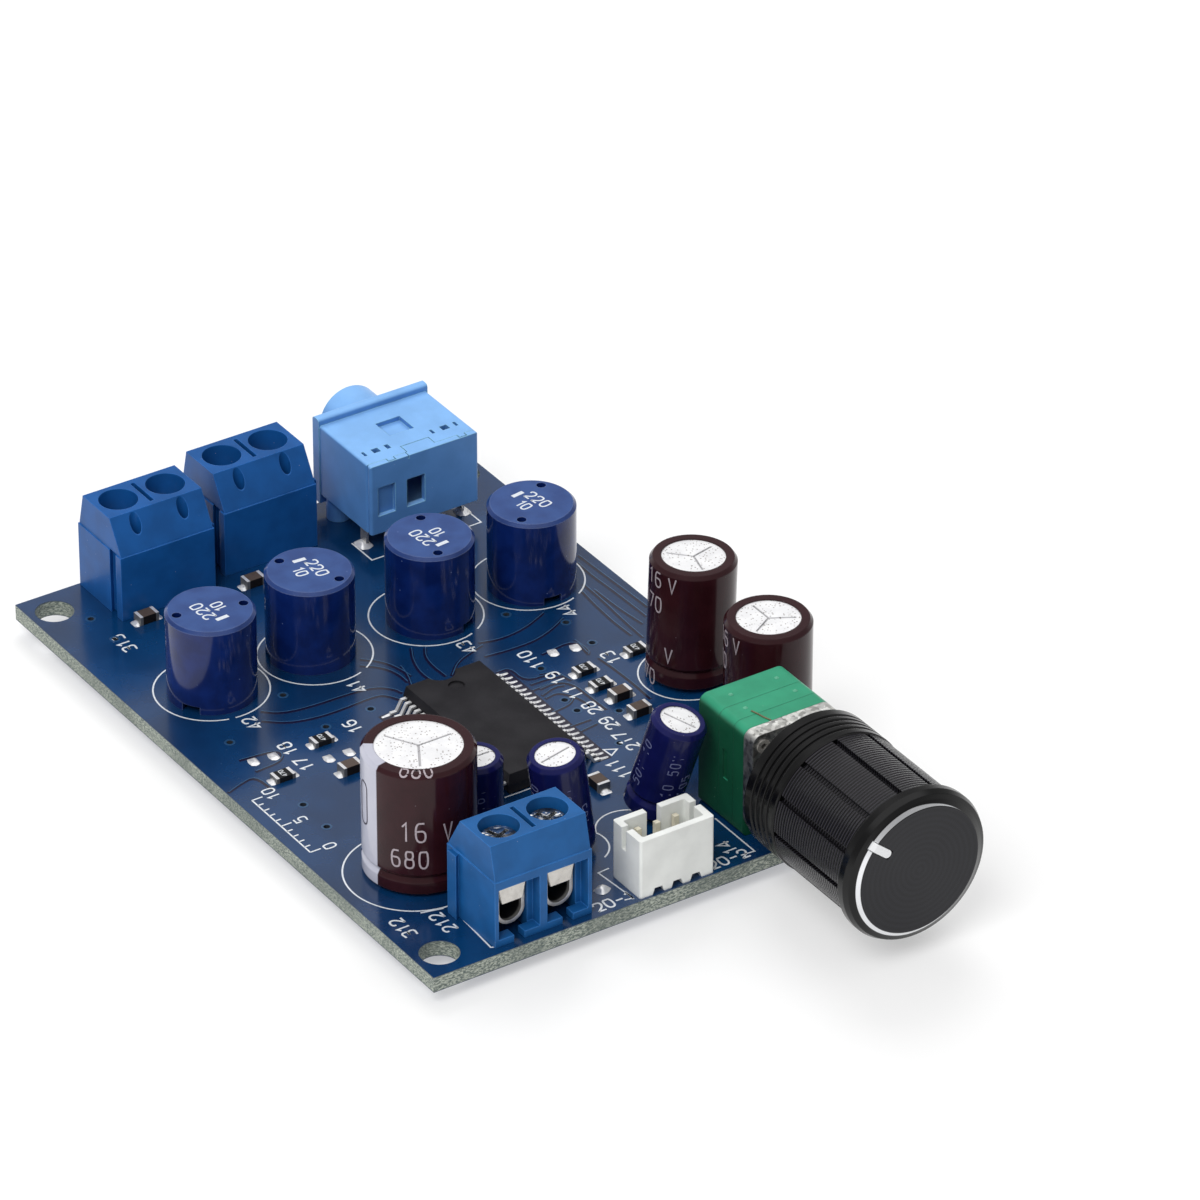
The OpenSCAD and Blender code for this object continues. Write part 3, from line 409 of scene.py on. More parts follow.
def sleeve_finish(name, colour, ring, foot, stripe=None):
    """Shrunk sleeve of a capacitor: thin glossy film, faintly wavy, in a lighter ring colour where it folds
    over the rim and faces up, as painted highlight. stripe is (middle angle, half width) of a pale band, in
    degrees."""
    finish = Finish(name, Coat_Weight=0.12, Coat_Roughness=0.06, Specular_IOR_Level=0.2)
    waves = finish.noise(1.1, stretch=(1, 1, 0.35))
    clouds = finish.noise(2.4, 3.0)
    tone = finish.tones(clouds.ramp(0.3, 0.7), colour, 0.86, 1.16)
    # Painted highlight: faces that look up take the lighter ring colour.
    tone = finish.mix(finish.upward(0.3, 0.9) * 0.55, tone, ring)
    tone = finish.mix(finish.cells(1.1, seed=4.0).ramp(0.05, 0.02) * 0.35, tone, srgb(170, 160, 170))
    if stripe:
        middle, edge = (radians(angle) for angle in stripe)
        x, y, _ = finish.axes(foot / MM)
        along = x * cos(middle) + y * sin(middle)
        across = y * cos(middle) - x * sin(middle)
        band = across.maths("ARCTAN2", across, along).size().ramp(edge + 0.012, edge - 0.012)
        tone = finish.mix(band, tone, finish.mix(clouds, srgb(178, 179, 194), srgb(196, 197, 210)))
    return finish.done(tone, clouds * 0.08 + 0.12, finish.bump(waves, 0.03, 0.35, 0.2))


def can_finish(name, cap):
    """Satin aluminium can with small dark specks, rubbed marks, and painted shade in grey below its top
    face, in the vent lines pressed into its top and down its side.
    """
    finish = Finish(name, Metallic=0.3)
    axis = cap.frame.to_3x3() @ Vector((0, 0, 1))
    height = finish.vector("DOT_PRODUCT", finish.place(cap.foot / MM), tuple(axis), "Value")
    # Painted shade: darker grey more than about 0.2 mm below the top.
    line = height.ramp(cap.height - 0.17, cap.height - 0.24)
    clouds = finish.noise(1.4, 3.0)
    rubs = finish.noise(0.3, 3.0, stretch=(1, 2.5, 1))
    tone = finish.mix(clouds.ramp(0.3, 0.7), srgb(238, 238, 240), srgb(250, 250, 251))
    specks = finish.cells(0.32, seed=9.0).ramp(0.3, 0.18) * finish.noise(1.0, seed=2.0).ramp(0.32, 0.5)
    tone = finish.mix(specks * 0.75, tone, srgb(120, 110, 102))
    return finish.done(finish.mix(line * 0.5, tone, srgb(112, 108, 114)), rubs * 0.15 + 0.42,
                       finish.bump(rubs, 0.004, 0.5, 0.08))


def zinc_finish():
    """Die-cast zinc plate with a spangle of grey grains, lighter on its top than on its sides as painted
    light.
    """
    finish = Finish("zinc_spangle")
    grain = finish.cells(0.34, output="Color")
    light = finish.part(grain, 0)
    up = finish.upward()
    clouds = finish.noise(0.8, 3.0)
    # Painted light: darker grains on the sides, lighter on the top.
    tone = finish.mix(light, srgb(70, 74, 80), srgb(168, 170, 172))
    tone = finish.mix(up, tone, finish.mix(light, srgb(132, 133, 132), srgb(244, 244, 240)))
    finish.set("Metallic", 0.9 - up * 0.5)
    return finish.done(finish.mix(clouds.ramp(0.35, 0.65) * 0.5, tone, srgb(168, 166, 160)),
                       light * 0.25 + 0.3, finish.bump(light, 0.01, 0.5, 0.1))


def shaft_finish():
    """Turned aluminium: fine rings around an axis that runs along Y."""
    finish = Finish("shaft_aluminium", Metallic=1.0)
    rings = (finish.axes()[1] * 40.0).wave()
    clouds = finish.noise(1.0, 3.0)
    tone = finish.tones(clouds, srgb(200, 200, 200), 0.85, 1.1)
    return finish.done(tone, rings * 0.08 + clouds * 0.1 + 0.2,
                       finish.bump(rings, 0.01, 0.4, 0.08))


def knob_finish():
    """Black anodised knob: fine ribs around the grip with painted highlights on their crests, a bright cut
    chamfer that is painted black towards +x as painted shade, and a finely turned face whose rings are
    painted lighter and darker, partly its turning and partly painted sheen.
    """
    low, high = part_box("volume_knob")
    axis = (low + high) / 2 / MM
    finish = Finish("knob_black_anodised", Specular_IOR_Level=0.3)
    x, y, z = finish.axes((axis.x, low.y / MM, axis.z))
    radius = (x * x + z * z) ** 0.5
    rim = radius.ramp(KNOB_FACE + 0.04, KNOB_FACE + 0.1) * radius.ramp(KNOB_CHAMFER + 0.06, KNOB_CHAMFER)
    # Painted shade: the chamfer's bright metal gives way to black towards +x.
    chamfer = rim * (y + x * 0.042).ramp(0.24, 0.18)
    face = y.ramp(0.05, 0.02) * radius.ramp(KNOB_FACE, KNOB_FACE - 0.02)
    grip = y.ramp(2.2, 2.4) * y.ramp(12.6, 12.4)
    ribs = (y * (tau / 0.35)).wave()
    turning = (radius * (tau / 0.11)).wave()
    coarse = (radius * (tau / 0.55)).wave()
    clouds = finish.noise(3.0, 3.0)
    black = finish.mix(clouds, srgb(4, 4, 5), srgb(9, 9, 10))
    # Painted highlight: a lighter colour on the rib crests.
    black = finish.mix(grip * ribs * ribs * 0.7, black, srgb(52, 50, 58))
    # Painted sheen, partly real turning: the rings of the face lighter and darker.
    disc = finish.mix(turning * 0.7 + coarse * 0.3, srgb(7, 7, 11), srgb(30, 30, 37))
    silver = finish.mix(clouds, srgb(222, 224, 228), srgb(250, 250, 252))
    finish.set("Metallic", chamfer)
    relief = finish.bump(grip * ribs, 0.09, 1.0, 0.12)
    return finish.done(finish.mix(chamfer, finish.mix(face, black, disc), silver),
                       face * 0.14 + clouds * 0.08 + 0.17,
                       finish.bump(face * turning, 0.006, 0.6, under=relief))


def ceramic(name, colour, roughness=0.4, side=1.0):
    """Fired ceramic or ferrite with a slightly grainy face, and sides as bright as side says, as painted
    shade.
    """
    finish = Finish(name, Specular_IOR_Level=0.25)
    grains = finish.noise(0.12, 3.0)
    tone = finish.tones(grains.ramp(0.3, 0.7), colour, 0.8, 1.2)
    # Painted shade: upright faces dimmed by side.
    return finish.done(finish.painted_side_shade(tone, side), grains * 0.15 + (roughness - 0.08),
                       finish.bump(grains, 0.01, 0.5, 0.07))


def winding_finish():
    """Enamelled copper turns stacked along Z."""
    finish = Finish("enamelled_copper", Metallic=0.8)
    turns = (finish.axes()[2] * (tau / 0.3)).wave()
    return finish.done(finish.mix(turns, srgb(96, 40, 18), srgb(198, 110, 62)), turns * 0.1 + 0.28,
                       finish.bump(turns, 0.1))


def on_board(x, y, z=0.0):
    """A place in mm from the front left corner of the board's top face."""
    return Vector((BOARD_LOW.x + x * MM, BOARD_LOW.y + y * MM, BOARD_HIGH.z + z * MM))


def under_board(x, y, z=0.0):
    """The same on the underside, with z counted downwards."""
    return Vector((BOARD_LOW.x + x * MM, BOARD_LOW.y + y * MM, BOARD_LOW.z - z * MM))


def solids(node):
    """The separate solids of a node, each as its low and high corner in board mm."""
    points = [NODES[node].matrix_world @ vertex.co for vertex in NODES[node].data.vertices]
    leader = list(range(len(points)))

    def first(i):
        while leader[i] != i:
            leader[i] = leader[leader[i]]
            i = leader[i]
        return i

    shared = {}
    for i, point in enumerate(points):
        leader[first(i)] = first(shared.setdefault(tuple(round(c / MM, 4) for c in point), i))
    for edge in NODES[node].data.edges:
        leader[first(edge.vertices[0])] = first(edge.vertices[1])
    groups = {}
    for i, point in enumerate(points):
        groups.setdefault(first(i), []).append((point - on_board(0, 0)) / MM)
    return [
        tuple(tuple(pick(point[k] for point in group) for k in range(3)) for pick in (min, max))
        for group in groups.values()
    ]


def on_board_at(level):
    """A surface at a height in mm over the board's top face."""
    return lambda x, y, z: on_board(x, y, level + z)


def middle_of(low, high):
    """The middle of a solid, seen from above."""
    return (low[0] + high[0]) / 2, (low[1] + high[1]) / 2


def turned(middle, angle):
    """Lays out places around a middle, turned by an angle in radians."""
    a, b = cos(angle), sin(angle)
    return lambda u, v: (middle[0] + u * a - v * b, middle[1] + u * b + v * a)


def new_object(name, data):
    """An object in the scene."""
    made = bpy.data.objects.new(name, data)
    bpy.context.scene.collection.objects.link(made)
    return made


class Shape:
    """A mesh under construction."""

    def __init__(self):
        self.points = []
        self.faces = []

    def add(self, points, faces):
        first = len(self.points)
        self.points += points
        self.faces += [tuple(first + i for i in face) for face in faces]

    def band(self, surface, stroke, width, lift=PRINT_LIFT):
        """A printed line: a closed strip along a stroke, raised from a surface by lift mm."""
        closed = stroke[0] == stroke[-1]
        spots = stroke[:-1] if closed else stroke
        count = len(spots)
        points = []
        for i, (u, v) in enumerate(spots):
            before = spots[i - 1] if closed or i > 0 else spots[0]
            after = spots[(i + 1) % count] if closed or i < count - 1 else spots[-1]
            inward = unit(u - before[0], v - before[1])
            onward = unit(after[0] - u, after[1] - v)
            inward = inward or onward
            onward = onward or inward
            across = unit(-inward[1] - onward[1], inward[0] + onward[0]) or (-inward[1], inward[0])
            reach = 0.5 * width / max(0.5, across[0] * -inward[1] + across[1] * inward[0])
            for side in (-reach, reach):
                for height in (PRINT_ROOT, lift):
                    points.append(surface(u + side * across[0], v + side * across[1], height))
        faces = []
        for i in range(count if closed else count - 1):
            a, b = 4 * i, 4 * ((i + 1) % count)
            faces += [(a + 1, b + 1, b + 3, a + 3), (a + 2, a + 3, b + 3, b + 2),
                      (a, b, b + 1, a + 1), (a, a + 2, b + 2, b)]
        if not closed:
            end = 4 * (count - 1)
            faces += [(0, 1, 3, 2), (end, end + 2, end + 3, end + 1)]
        self.add(points, faces)

    def bands(self, surface, strokes, width, lift=PRINT_LIFT):
        for stroke in strokes:
            self.band(surface, stroke, width, lift)

    def dome(self, surface, middle, size, height, turn=0.0, sharp=4):
        """A low pillow of solder on a rounded rectangle, turned by an angle in radians."""
        lay, steps = turned(middle, turn), 8
        points = []
        for j in range(steps + 1):
            for i in range(steps + 1):
                s, t = 2 * i / steps - 1, 2 * j / steps - 1
                s, t = s * sqrt(1 - 0.3 * t * t), t * sqrt(1 - 0.3 * s * s)
                u, v = s * size[0] / 2, t * size[1] / 2
                rise = height * max(0.0, 1 - abs(s) ** sharp) * max(0.0, 1 - abs(t) ** sharp)
                points.append(surface(*lay(u, v), rise))
        row = steps + 1
        faces = [(j * row + i, j * row + i + 1, (j + 1) * row + i + 1, (j + 1) * row + i)
                 for j in range(steps) for i in range(steps)]
        self.add(points, faces)

    def fillet(self, start, heading, width, reach, height, steps=6, spread=1.15):
        """Solder drawn up a metal end: high at the end face, sweeping down to the rim of its pad."""
        lay = turned(start, radians(heading))
        points = []
        for i in range(steps + 1):
            out = i / steps
            for j in range(steps + 1):
                side = 2 * j / steps - 1
                wide = width * (1 + (spread - 1) * min(1.0, 3 * out)) * sqrt(1 - 0.35 * out ** 4)
                rise = height * (1 - out) ** 1.7 * (1 - abs(side) ** 3) + 0.035 * (1 - side * side)
                if i == steps or j in (0, steps):
                    rise = PRINT_ROOT
                points.append(on_board(*lay(out * reach, side * wide / 2), rise))
        row = steps + 1
        faces = [(i * row + j, (i + 1) * row + j, (i + 1) * row + j + 1, i * row + j + 1)
                 for i in range(steps) for j in range(steps)]
        first = len(points)
        points += [on_board(*lay(0, (2 * j / steps - 1) * width / 2), PRINT_ROOT) for j in range(row)]
        faces += [(first + j, j, j + 1, first + j + 1) for j in range(steps)]
        self.add(points, faces)

    def ring(self, surface, middle, inner, outer, lift, sides=28):
        """A flat washer lying on a surface."""
        points = []
        for i in range(sides):
            lay = turned(middle, tau * i / sides)
            for radius, height in ((inner, PRINT_ROOT), (inner, lift), (outer, lift), (outer, PRINT_ROOT)):
                points.append(surface(*lay(radius, 0), height))
        faces = []
        for i in range(sides):
            a, b = 4 * i, 4 * ((i + 1) % sides)
            faces += [(a + k, b + k, b + (k + 1) % 4, a + (k + 1) % 4) for k in range(4)]
        self.add(points, faces)

    def thing(self, name, finish, smooth=False):
        """Makes the object."""
        mesh = bpy.data.meshes.new(name)
        mesh.from_pydata(self.points, [], self.faces)
        mesh.materials.append(finish)
        mesh.update()
        mesh.polygons.foreach_set("use_smooth", [smooth] * len(mesh.polygons))
        return new_object(name, mesh)

    def piece(self, name, finish, slot, body="board", smooth=False):
        """Makes the object and lets it ride on its body."""
        piece = self.thing(name, finish, smooth)
        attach(piece, body)


def unit(x, y):
    """A direction of length 1, or nothing where there is none."""
    length = hypot(x, y)
    return (x / length, y / length) if length > 1e-9 else None


def arc(middle, radius, start, end, step=6):
    """Points along a circle, from one angle to another, in degrees."""
    count = max(2, round(abs(end - start) / step))
    angles = [radians(start + (end - start) * i / count) for i in range(count + 1)]
    return [(middle[0] + radius * cos(a), middle[1] + radius * sin(a)) for a in angles]


def eased(points, passes=2):
    """A line with its corners cut, as a rounded stroke."""
    for _ in range(passes):
        cut = [points[0]]
        for (ax, ay), (bx, by) in zip(points, points[1:]):
            cut += [(0.75 * ax + 0.25 * bx, 0.75 * ay + 0.25 * by),
                    (0.25 * ax + 0.75 * bx, 0.25 * ay + 0.75 * by)]
        points = cut + [points[-1]]
    return points


# Strokes of the printed figures, in a square of 1 by 1
FIGURES = {
    "0": [eased([(0.5, 1), (0, 1), (0, 0), (1, 0), (1, 1), (0.5, 1)])],
    "1": [[(0.15, 0.78), (0.55, 1), (0.55, 0)]],
    "2": [eased([(0, 0.72), (0.05, 1), (0.95, 1), (1, 0.5), (0, 0)]), [(0, 0), (1, 0)]],
    "3": [eased([(0, 0.95), (1, 1.05), (1, 0.5), (0.35, 0.54)]),
          eased([(0.35, 0.54), (1, 0.55), (1, -0.05), (0, 0.05)])],
    "4": [[(0.75, 0), (0.75, 1), (0, 0.3), (1, 0.3)]],
    "5": [[(0.95, 1), (0.1, 1), (0.05, 0.55)], eased([(0.05, 0.55), (1, 0.7), (1, -0.05), (0, 0.04)])],
    "6": [eased([(0.9, 1), (0, 1), (0, 0), (1, 0), (1, 0.6), (0.03, 0.56)])],
    "7": [[(0, 1), (1, 1), (0.35, 0)]],
    "8": [eased([(0.5, 1), (0.08, 1), (0.08, 0.53), (0.92, 0.53), (0.92, 1), (0.5, 1)]),
          eased([(0.5, 0.53), (0, 0.53), (0, 0), (1, 0), (1, 0.53), (0.5, 0.53)])],
    "9": [eased([(0.1, 0), (1, 0), (1, 1), (0, 1), (0, 0.4), (0.97, 0.44)])],
    "-": [[(0.05, 0.5), (0.95, 0.5)]],
    "V": [[(0, 1), (0.5, 0), (1, 1)]],
}


def lettering(text, start, heading, height, pitch, slim):
    """Strokes of a line of figures: start is the foot of the first one, heading in degrees."""
    lay = turned(start, radians(heading))
    return [
        [lay(k * pitch + a * height * slim, b * height) for a, b in stroke]
        for k, figure in enumerate(text) for stroke in FIGURES.get(figure, [])
    ]


def centre_of(node):
    """The middle of a node in board mm."""
    low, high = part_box(node)
    return ((low.x + high.x) / 2 - BOARD_LOW.x) / MM, ((low.y + high.y) / 2 - BOARD_LOW.y) / MM


# The inductors: their middles, the height of their caps, and how their prints are turned, in degrees
INDUCTORS = [centre_of(f"inductor_cap_{i}") for i in (1, 2, 3, 4)]
INDUCTOR_TOP = (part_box("inductor_cap_1")[1].z - BOARD_HIGH.z) / MM
INDUCTOR_PRINT_TURN = (93, -94, 95, -82)


class Capacitor:
    """Where a capacitor stands: base in board mm, lean and its direction in degrees, radius and height."""

    def __init__(self, base, lean, heading, radius, height):
        self.heading = heading
        self.radius = radius
        self.height = height
        self.foot = on_board(*base)
        turn = Matrix.Rotation(radians(heading), 4, "Z")
        self.frame = Matrix.Translation(self.foot) @ turn @ Matrix.Rotation(radians(lean), 4, "Y")

    def wall(self, u, v, lift):
        """u mm around the sleeve from the side that faces the camera, v mm up, over the shoulder too."""
        angle = radians(FACING - self.heading) + u / self.radius
        shoulder = self.height - 0.4
        bend = v - shoulder
        reach, level = self.radius + lift, v
        if bend > 0.5:
            reach, level = self.radius - 0.3 - (bend - 0.5), self.height + lift
        elif bend > 0:
            reach, level = self.radius + 0.8 * lift - 0.6 * bend, shoulder + 0.8 * bend + 0.6 * lift
        return self.frame @ Vector((reach * cos(angle) * MM, reach * sin(angle) * MM, level * MM))


CAPACITORS = {
    "large": Capacitor((8.4, 15.5, 0.05), 0, 0, 5.2, 12.85),
    "front": Capacitor((46.6, 16.6, 0.05), 0, 90, 4.08, 12.3),
    "rear": Capacitor((46.25, 28.8, 0.2), 2.2, 15, 4.08, 12.3),
    "short": Capacitor((15.9, 18.1, 0.05), 0, 0, 2.6, 7.5),
    "left_small": Capacitor((21, 10.7, 0.45), 8, 184, 2.6, 10.2),
    "right_small": Capacitor((30.25, 11.3, 0.85), 16, -54, 2.6, 10.2),
}


def dress_nodes():
    """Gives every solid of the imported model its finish."""
    bare = {
        "circuit_board": board_finish(),
        "solder_joints": solder("solder_below"),
        "power_terminal_housing": moulded("terminal_front_blue", srgb(26, 88, 148), ease=0.13, edge_and_speck_share=0.8),
        "amplifier_chip_body": chip_resin(),
        "header_housing": moulded("header_white_nylon", srgb(230, 232, 229), 0.4, 0.12, 0.05, 0.2),
        "volume_knob": knob_finish(),
        "potentiometer_front_plate": zinc_finish(),
        "potentiometer_shaft": shaft_finish(),
        "capacitor_bungs": moulded("bung_rubber", srgb(26, 26, 28), 0.6),
        "inductor_cores": ceramic("ferrite_black", srgb(44, 44, 48), 0.55),
        "inductor_windings": winding_finish(),
        "chip_resistor_bodies": ceramic("resistor_glaze", srgb(26, 26, 28), 0.3),
        # Painted shade: the chip capacitors' sides at a tenth of the top's colour.
        "chip_capacitor_bodies": ceramic("capacitor_ceramic", srgb(84, 72, 66), 0.5, 0.1),
    }
    back_blue = moulded("terminal_back_blue", srgb(20, 82, 148), ease=0.13, edge_and_speck_share=0.7)
    # Painted shade: darker side colours on the upright faces of the jack and the green decks.
    jack_blue = moulded("jack_light_blue", srgb(128, 178, 233), 0.34, 0.12, 0.06, 0.5,
                        side=srgb(84, 134, 194))
    green = moulded("deck_green", srgb(50, 146, 112), 0.36, 0.12, 0.08, 0.7,
                    edge=srgb(10, 58, 44), side=srgb(20, 78, 54))
    nickel = plated("nickel_plate", srgb(206, 202, 196))
    # Painted shade: upright faces of the leads and pins dimmed by side.
    tin = plated("tinned_lead", srgb(236, 236, 238), 0.3, metallic=0.4, side=0.22)
    lead = plated("tinned_chip_lead", srgb(244, 244, 246), 0.3, metallic=0.4, side=0.6)
    pin = plated("plated_header_pin", srgb(244, 236, 214), 0.3, metallic=0.35, side=0.85)
    bright = screw_finish()
    shared = {
        back_blue: ["left_speaker_terminal_housing", "right_speaker_terminal_housing"],
        jack_blue: ["jack_housing", "jack_rear_cover"],
        green: ["potentiometer_rear_cover", "potentiometer_rear_deck", "potentiometer_front_deck"],
        nickel: ["jack_contacts", "potentiometer_rivets"],
        lead: ["amplifier_chip_leads"],
        pin: ["header_pins"],
        tin: ["inductor_leads", "capacitor_leads", "potentiometer_pins", "chip_end_caps"],
        inductor_finish(): [f"inductor_cap_{i}" for i in (1, 2, 3, 4)],
    }
    for side in ("power", "left_speaker", "right_speaker"):
        cages = side + "_terminal_cages"
        bare[cages] = cage_finish(cages + "_plating", cages, side != "power")
        for i in (1, 2):
            bare[f"{side}_wire_guard_{i}"] = nickel
            bare[f"{side}_screw_{i}"] = bright
    for name, cap in CAPACITORS.items():
        bare[name + "_capacitor_can"] = can_finish(f"can_{name}", cap)
        brown = cap.radius > 4
        colour = srgb(46, 18, 23) if brown else srgb(17, 21, 74)
        # Painted highlight: a lighter sleeve colour where it folds over the rim and faces up.
        ring = srgb(52, 28, 32) if brown else srgb(28, 30, 92)
        stripe = (FACING - 68, 23) if name == "large" else None
        sleeve = sleeve_finish(f"sleeve_{name}", colour, ring, cap.foot, stripe)
        bare[name + "_capacitor_sleeve"] = sleeve
    for material, names in shared.items():
        for name in names:
            bare[name] = material
    for name, node in NODES.items():
        node.data.materials.clear()
        node.data.materials.append(bare[name])


dress_nodes()
WHITE_INK = printing("silkscreen_white", srgb(226, 230, 234))


def print_outlines():
    """Component outlines of the silkscreen."""
    shape = Shape()
    for x, y, radius, start, end, step in (
        (7.85, 50.5, 5.4, -97, 256, 5), (19, 50.45, 5.4, -60, 290, 5), (31.2, 50.45, 5.4, -60, 290, 5),
        (42.5, 50.45, 5.4, -60, 290, 5), (7.5, 15.05, 6.4, 100, 352, 5), (46, 28.7, 4.6, 48, 324, 6),
        (46, 16.6, 4.6, 48, 324, 6), (21.6, 10.2, 2.95, -65, 30, 6), (27.2, 10.2, 3, 20, 160, 6),
        (15.4, 17.6, 3.1, 150, 330, 6),
    ):
        shape.band(on_board, arc((x, y), radius, start, end, step), LINE)
    lines = [
        [(7.1, 7.7), (6.7, 1.2), (7.2, 1.0)],
        [(22.2, 5.85), (21.0, 5.75), (21.4, 0.75), (20.6, 0.9)],
        [(34.6, 7.3), (34.6, 1.0), (33.2, 1.1)],
        [(32.1, 65), (32.1, 61.4), (44.4, 61.5), (44.4, 64)],
        [(20.6, 20.5), (26.6, 20.5)],
        [(32.4, 22.2), (33.5, 21.6), (32.5, 21.0), (32.4, 22.2)],
        [(4.4, 9.1), (6.5, 8.6)],
    ]
    shape.bands(on_board, lines, LINE)
    shape.piece("silkscreen_outlines", WHITE_INK, "board")


# Place of each printed number: text, foot of the first figure, heading
NUMBERS = [
    ("18", (9.1, 37.2), 90), ("17", (9.0, 34.2), 90), ("16", (16.0, 37.1), 90),
    ("42", (8.6, 42.6), 90), ("41", (19.9, 42.6), 90), ("43", (32.0, 42.7), 90),
    ("44", (43.3, 42.9), 90), ("110", (35.8, 37.1), 90), ("19", (36.0, 33.8), 90),
    ("11", (36.0, 30.8), 90), ("28", (36.0, 27.7), 90), ("29", (35.9, 24.7), 90),
    ("217", (35.6, 20.8), 90), ("13", (42.2, 33.9), 90), ("111", (32.5, 17.3), 90),
    ("212", (5.9, 5.3), 90), ("312", (2.5, 6.5), 90), ("313", (5.7, 60.2), 90), ("15", (17.2, 60.6), 90),
    ("20-1", (17.7, 0.6), 0), ("20-2", (29.9, 0.6), 0), ("14", (33.5, 1.9), 90),
]


def print_numbers():
    """Numbers on the board and its chip resistors, and a millimetre scale with its figures."""
    shape = Shape()
    for text, start, heading in NUMBERS:
        shape.bands(on_board, lettering(text, start, heading, 1.25, 1.08, 0.62), 0.19)
    for low, high in solids("chip_resistor_bodies"):
        x, y = middle_of(low, high)
        shape.bands(on_board_at(high[2]), lettering("470", (x + 0.22, y - 0.5), 90, 0.45, 0.36, 0.6), 0.07)
    x, foot = SCALE_FOOT
    scale = [[(x, foot + k), (x + (0.6 if k % 5 else 1.1), foot + k)] for k in range(11)]
    shape.bands(on_board, scale + [[(x, foot), (x, foot + 10)]], LINE)
    for text, y in (("0", 22.2), ("5", 27.2), ("10", 31.8)):
        shape.bands(on_board, lettering(text, (3.9, y), 90, 1.15, 0.95, 0.6), 0.16)
    shape.piece("silkscreen_numbers", WHITE_INK, "board")


def cropped(strokes, top):
    """The part of the strokes that lies below a height."""
    kept = []
    for stroke in strokes:
        line = []
        for a, b in zip(stroke, stroke[1:] + [None]):
            if a[1] <= top:
                line.append(a)
            if b and (a[1] > top) != (b[1] > top):
                share = (top - a[1]) / (b[1] - a[1])
                line.append((a[0] + share * (b[0] - a[0]), top))
                if a[1] <= top:
                    kept.append(line)
                    line = []
        kept.append(line)
    return [line for line in kept if len(line) > 1]


def around(cap, angle):
    """Distance around a capacitor, in mm, of an angle from the side that faces the camera."""
    return radians(angle) * cap.radius


def print_capacitors():
    """Values printed on the sleeves, upright on the large ones and along the small ones."""
    pale = printing("sleeve_print_pale", srgb(176, 164, 170), 0.4, 0.35)
    shape, small = Shape(), Shape()
    large = CAPACITORS["large"]
    over = large.height - 0.2
    for text, angle, foot, top, tall, pitch in (
        ("680", -27, 3.1, 20, 1.72, 1.27), ("16", -17, 5.9, 20, 1.95, 1.34), ("V", 26, 5.65, 20, 1.85, 1.3),
        ("680", -19, over, over + 1.05, 1.75, 1.2)
    ):
        strokes = lettering(text, (around(large, angle), foot), 0, tall, pitch, 0.44)
        shape.bands(large.wall, cropped(strokes, top), 0.17, SLEEVE_PRINT_LIFT)
    for name, rows in (
        ("rear", (
            (-74, 11.1, "16"), (-34, 11.05, "V"), (-88, 8.5, "470"), (-36, 3.6, "V"), (-96, 0.6, "470")
        )),
        ("front", ((-92, 10.9, "16"), (-52, 10.9, "V"), (-112, 8.4, "470"), (-52, 3.4, "V"))),
    ):
        cap = CAPACITORS[name]
        for angle, foot, text in rows:
            strokes = lettering(text, (around(cap, angle), foot - 0.8), 0, 1.5, 1.15, 0.5)
            shape.bands(cap.wall, strokes, 0.15, SLEEVE_PRINT_LIFT)
    for name, angle, text in (
        ("right_small", -50, "50V 10"), ("right_small", 22, "10 50V"), ("right_small", 58, "105"),
        ("left_small", -44, "50V 10"), ("left_small", 24, "10 50V"), ("left_small", 60, "105"),
        ("short", 20, "16V"), ("short", -44, "10"),
    ):
        cap = CAPACITORS[name]
        strokes = lettering(text, (around(cap, angle), 3.2), 90, 0.95, 0.85, 0.5)
        small.bands(cap.wall, cropped(strokes, cap.height - 0.6), 0.1, SLEEVE_PRINT_LIFT)
    shape.piece("sleeve_prints", pale, "brown_sleeve")
    dim = printing("sleeve_print_dim", srgb(104, 110, 150), 0.4, 0.35)
    small.piece("small_sleeve_prints", dim, "blue_sleeve")
    pill = Shape()
    middle = around(large, -68)
    outline = arc((middle, 9.6), 0.62, 0, 180, 15) + arc((middle, 6.4), 0.62, 180, 360, 15)
    pill.band(large.wall, outline + [outline[0]], 0.16, SLEEVE_PRINT_LIFT)
    pill.piece("stripe_mark", printing("stripe_mark_dark", srgb(52, 46, 66), 0.4), "brown_sleeve")


def print_inductors():
    """The same value on each inductor, turned as the cap stands."""
    shape = Shape()
    for middle, heading in zip(INDUCTORS, INDUCTOR_PRINT_TURN):
        lay = turned(middle, radians(heading))

        def top(u, v, height):
            return on_board(*lay(u, v), INDUCTOR_TOP + height)

        shape.bands(top, lettering("220", (-1.32, 0.2), 0, 1.15, 1.02, 0.6), 0.17)
        shape.bands(top, lettering("10", (-0.75, -1.45), 0, 1.1, 0.72, 0.55), 0.17)
        shape.band(top, [(-1.9, -0.7), (-1.9, 0.6)], 0.45)
    ink = printing("inductor_print_white", srgb(216, 222, 230), 0.5, 0.2)
    shape.piece("inductor_prints", ink, "inductor_shell")


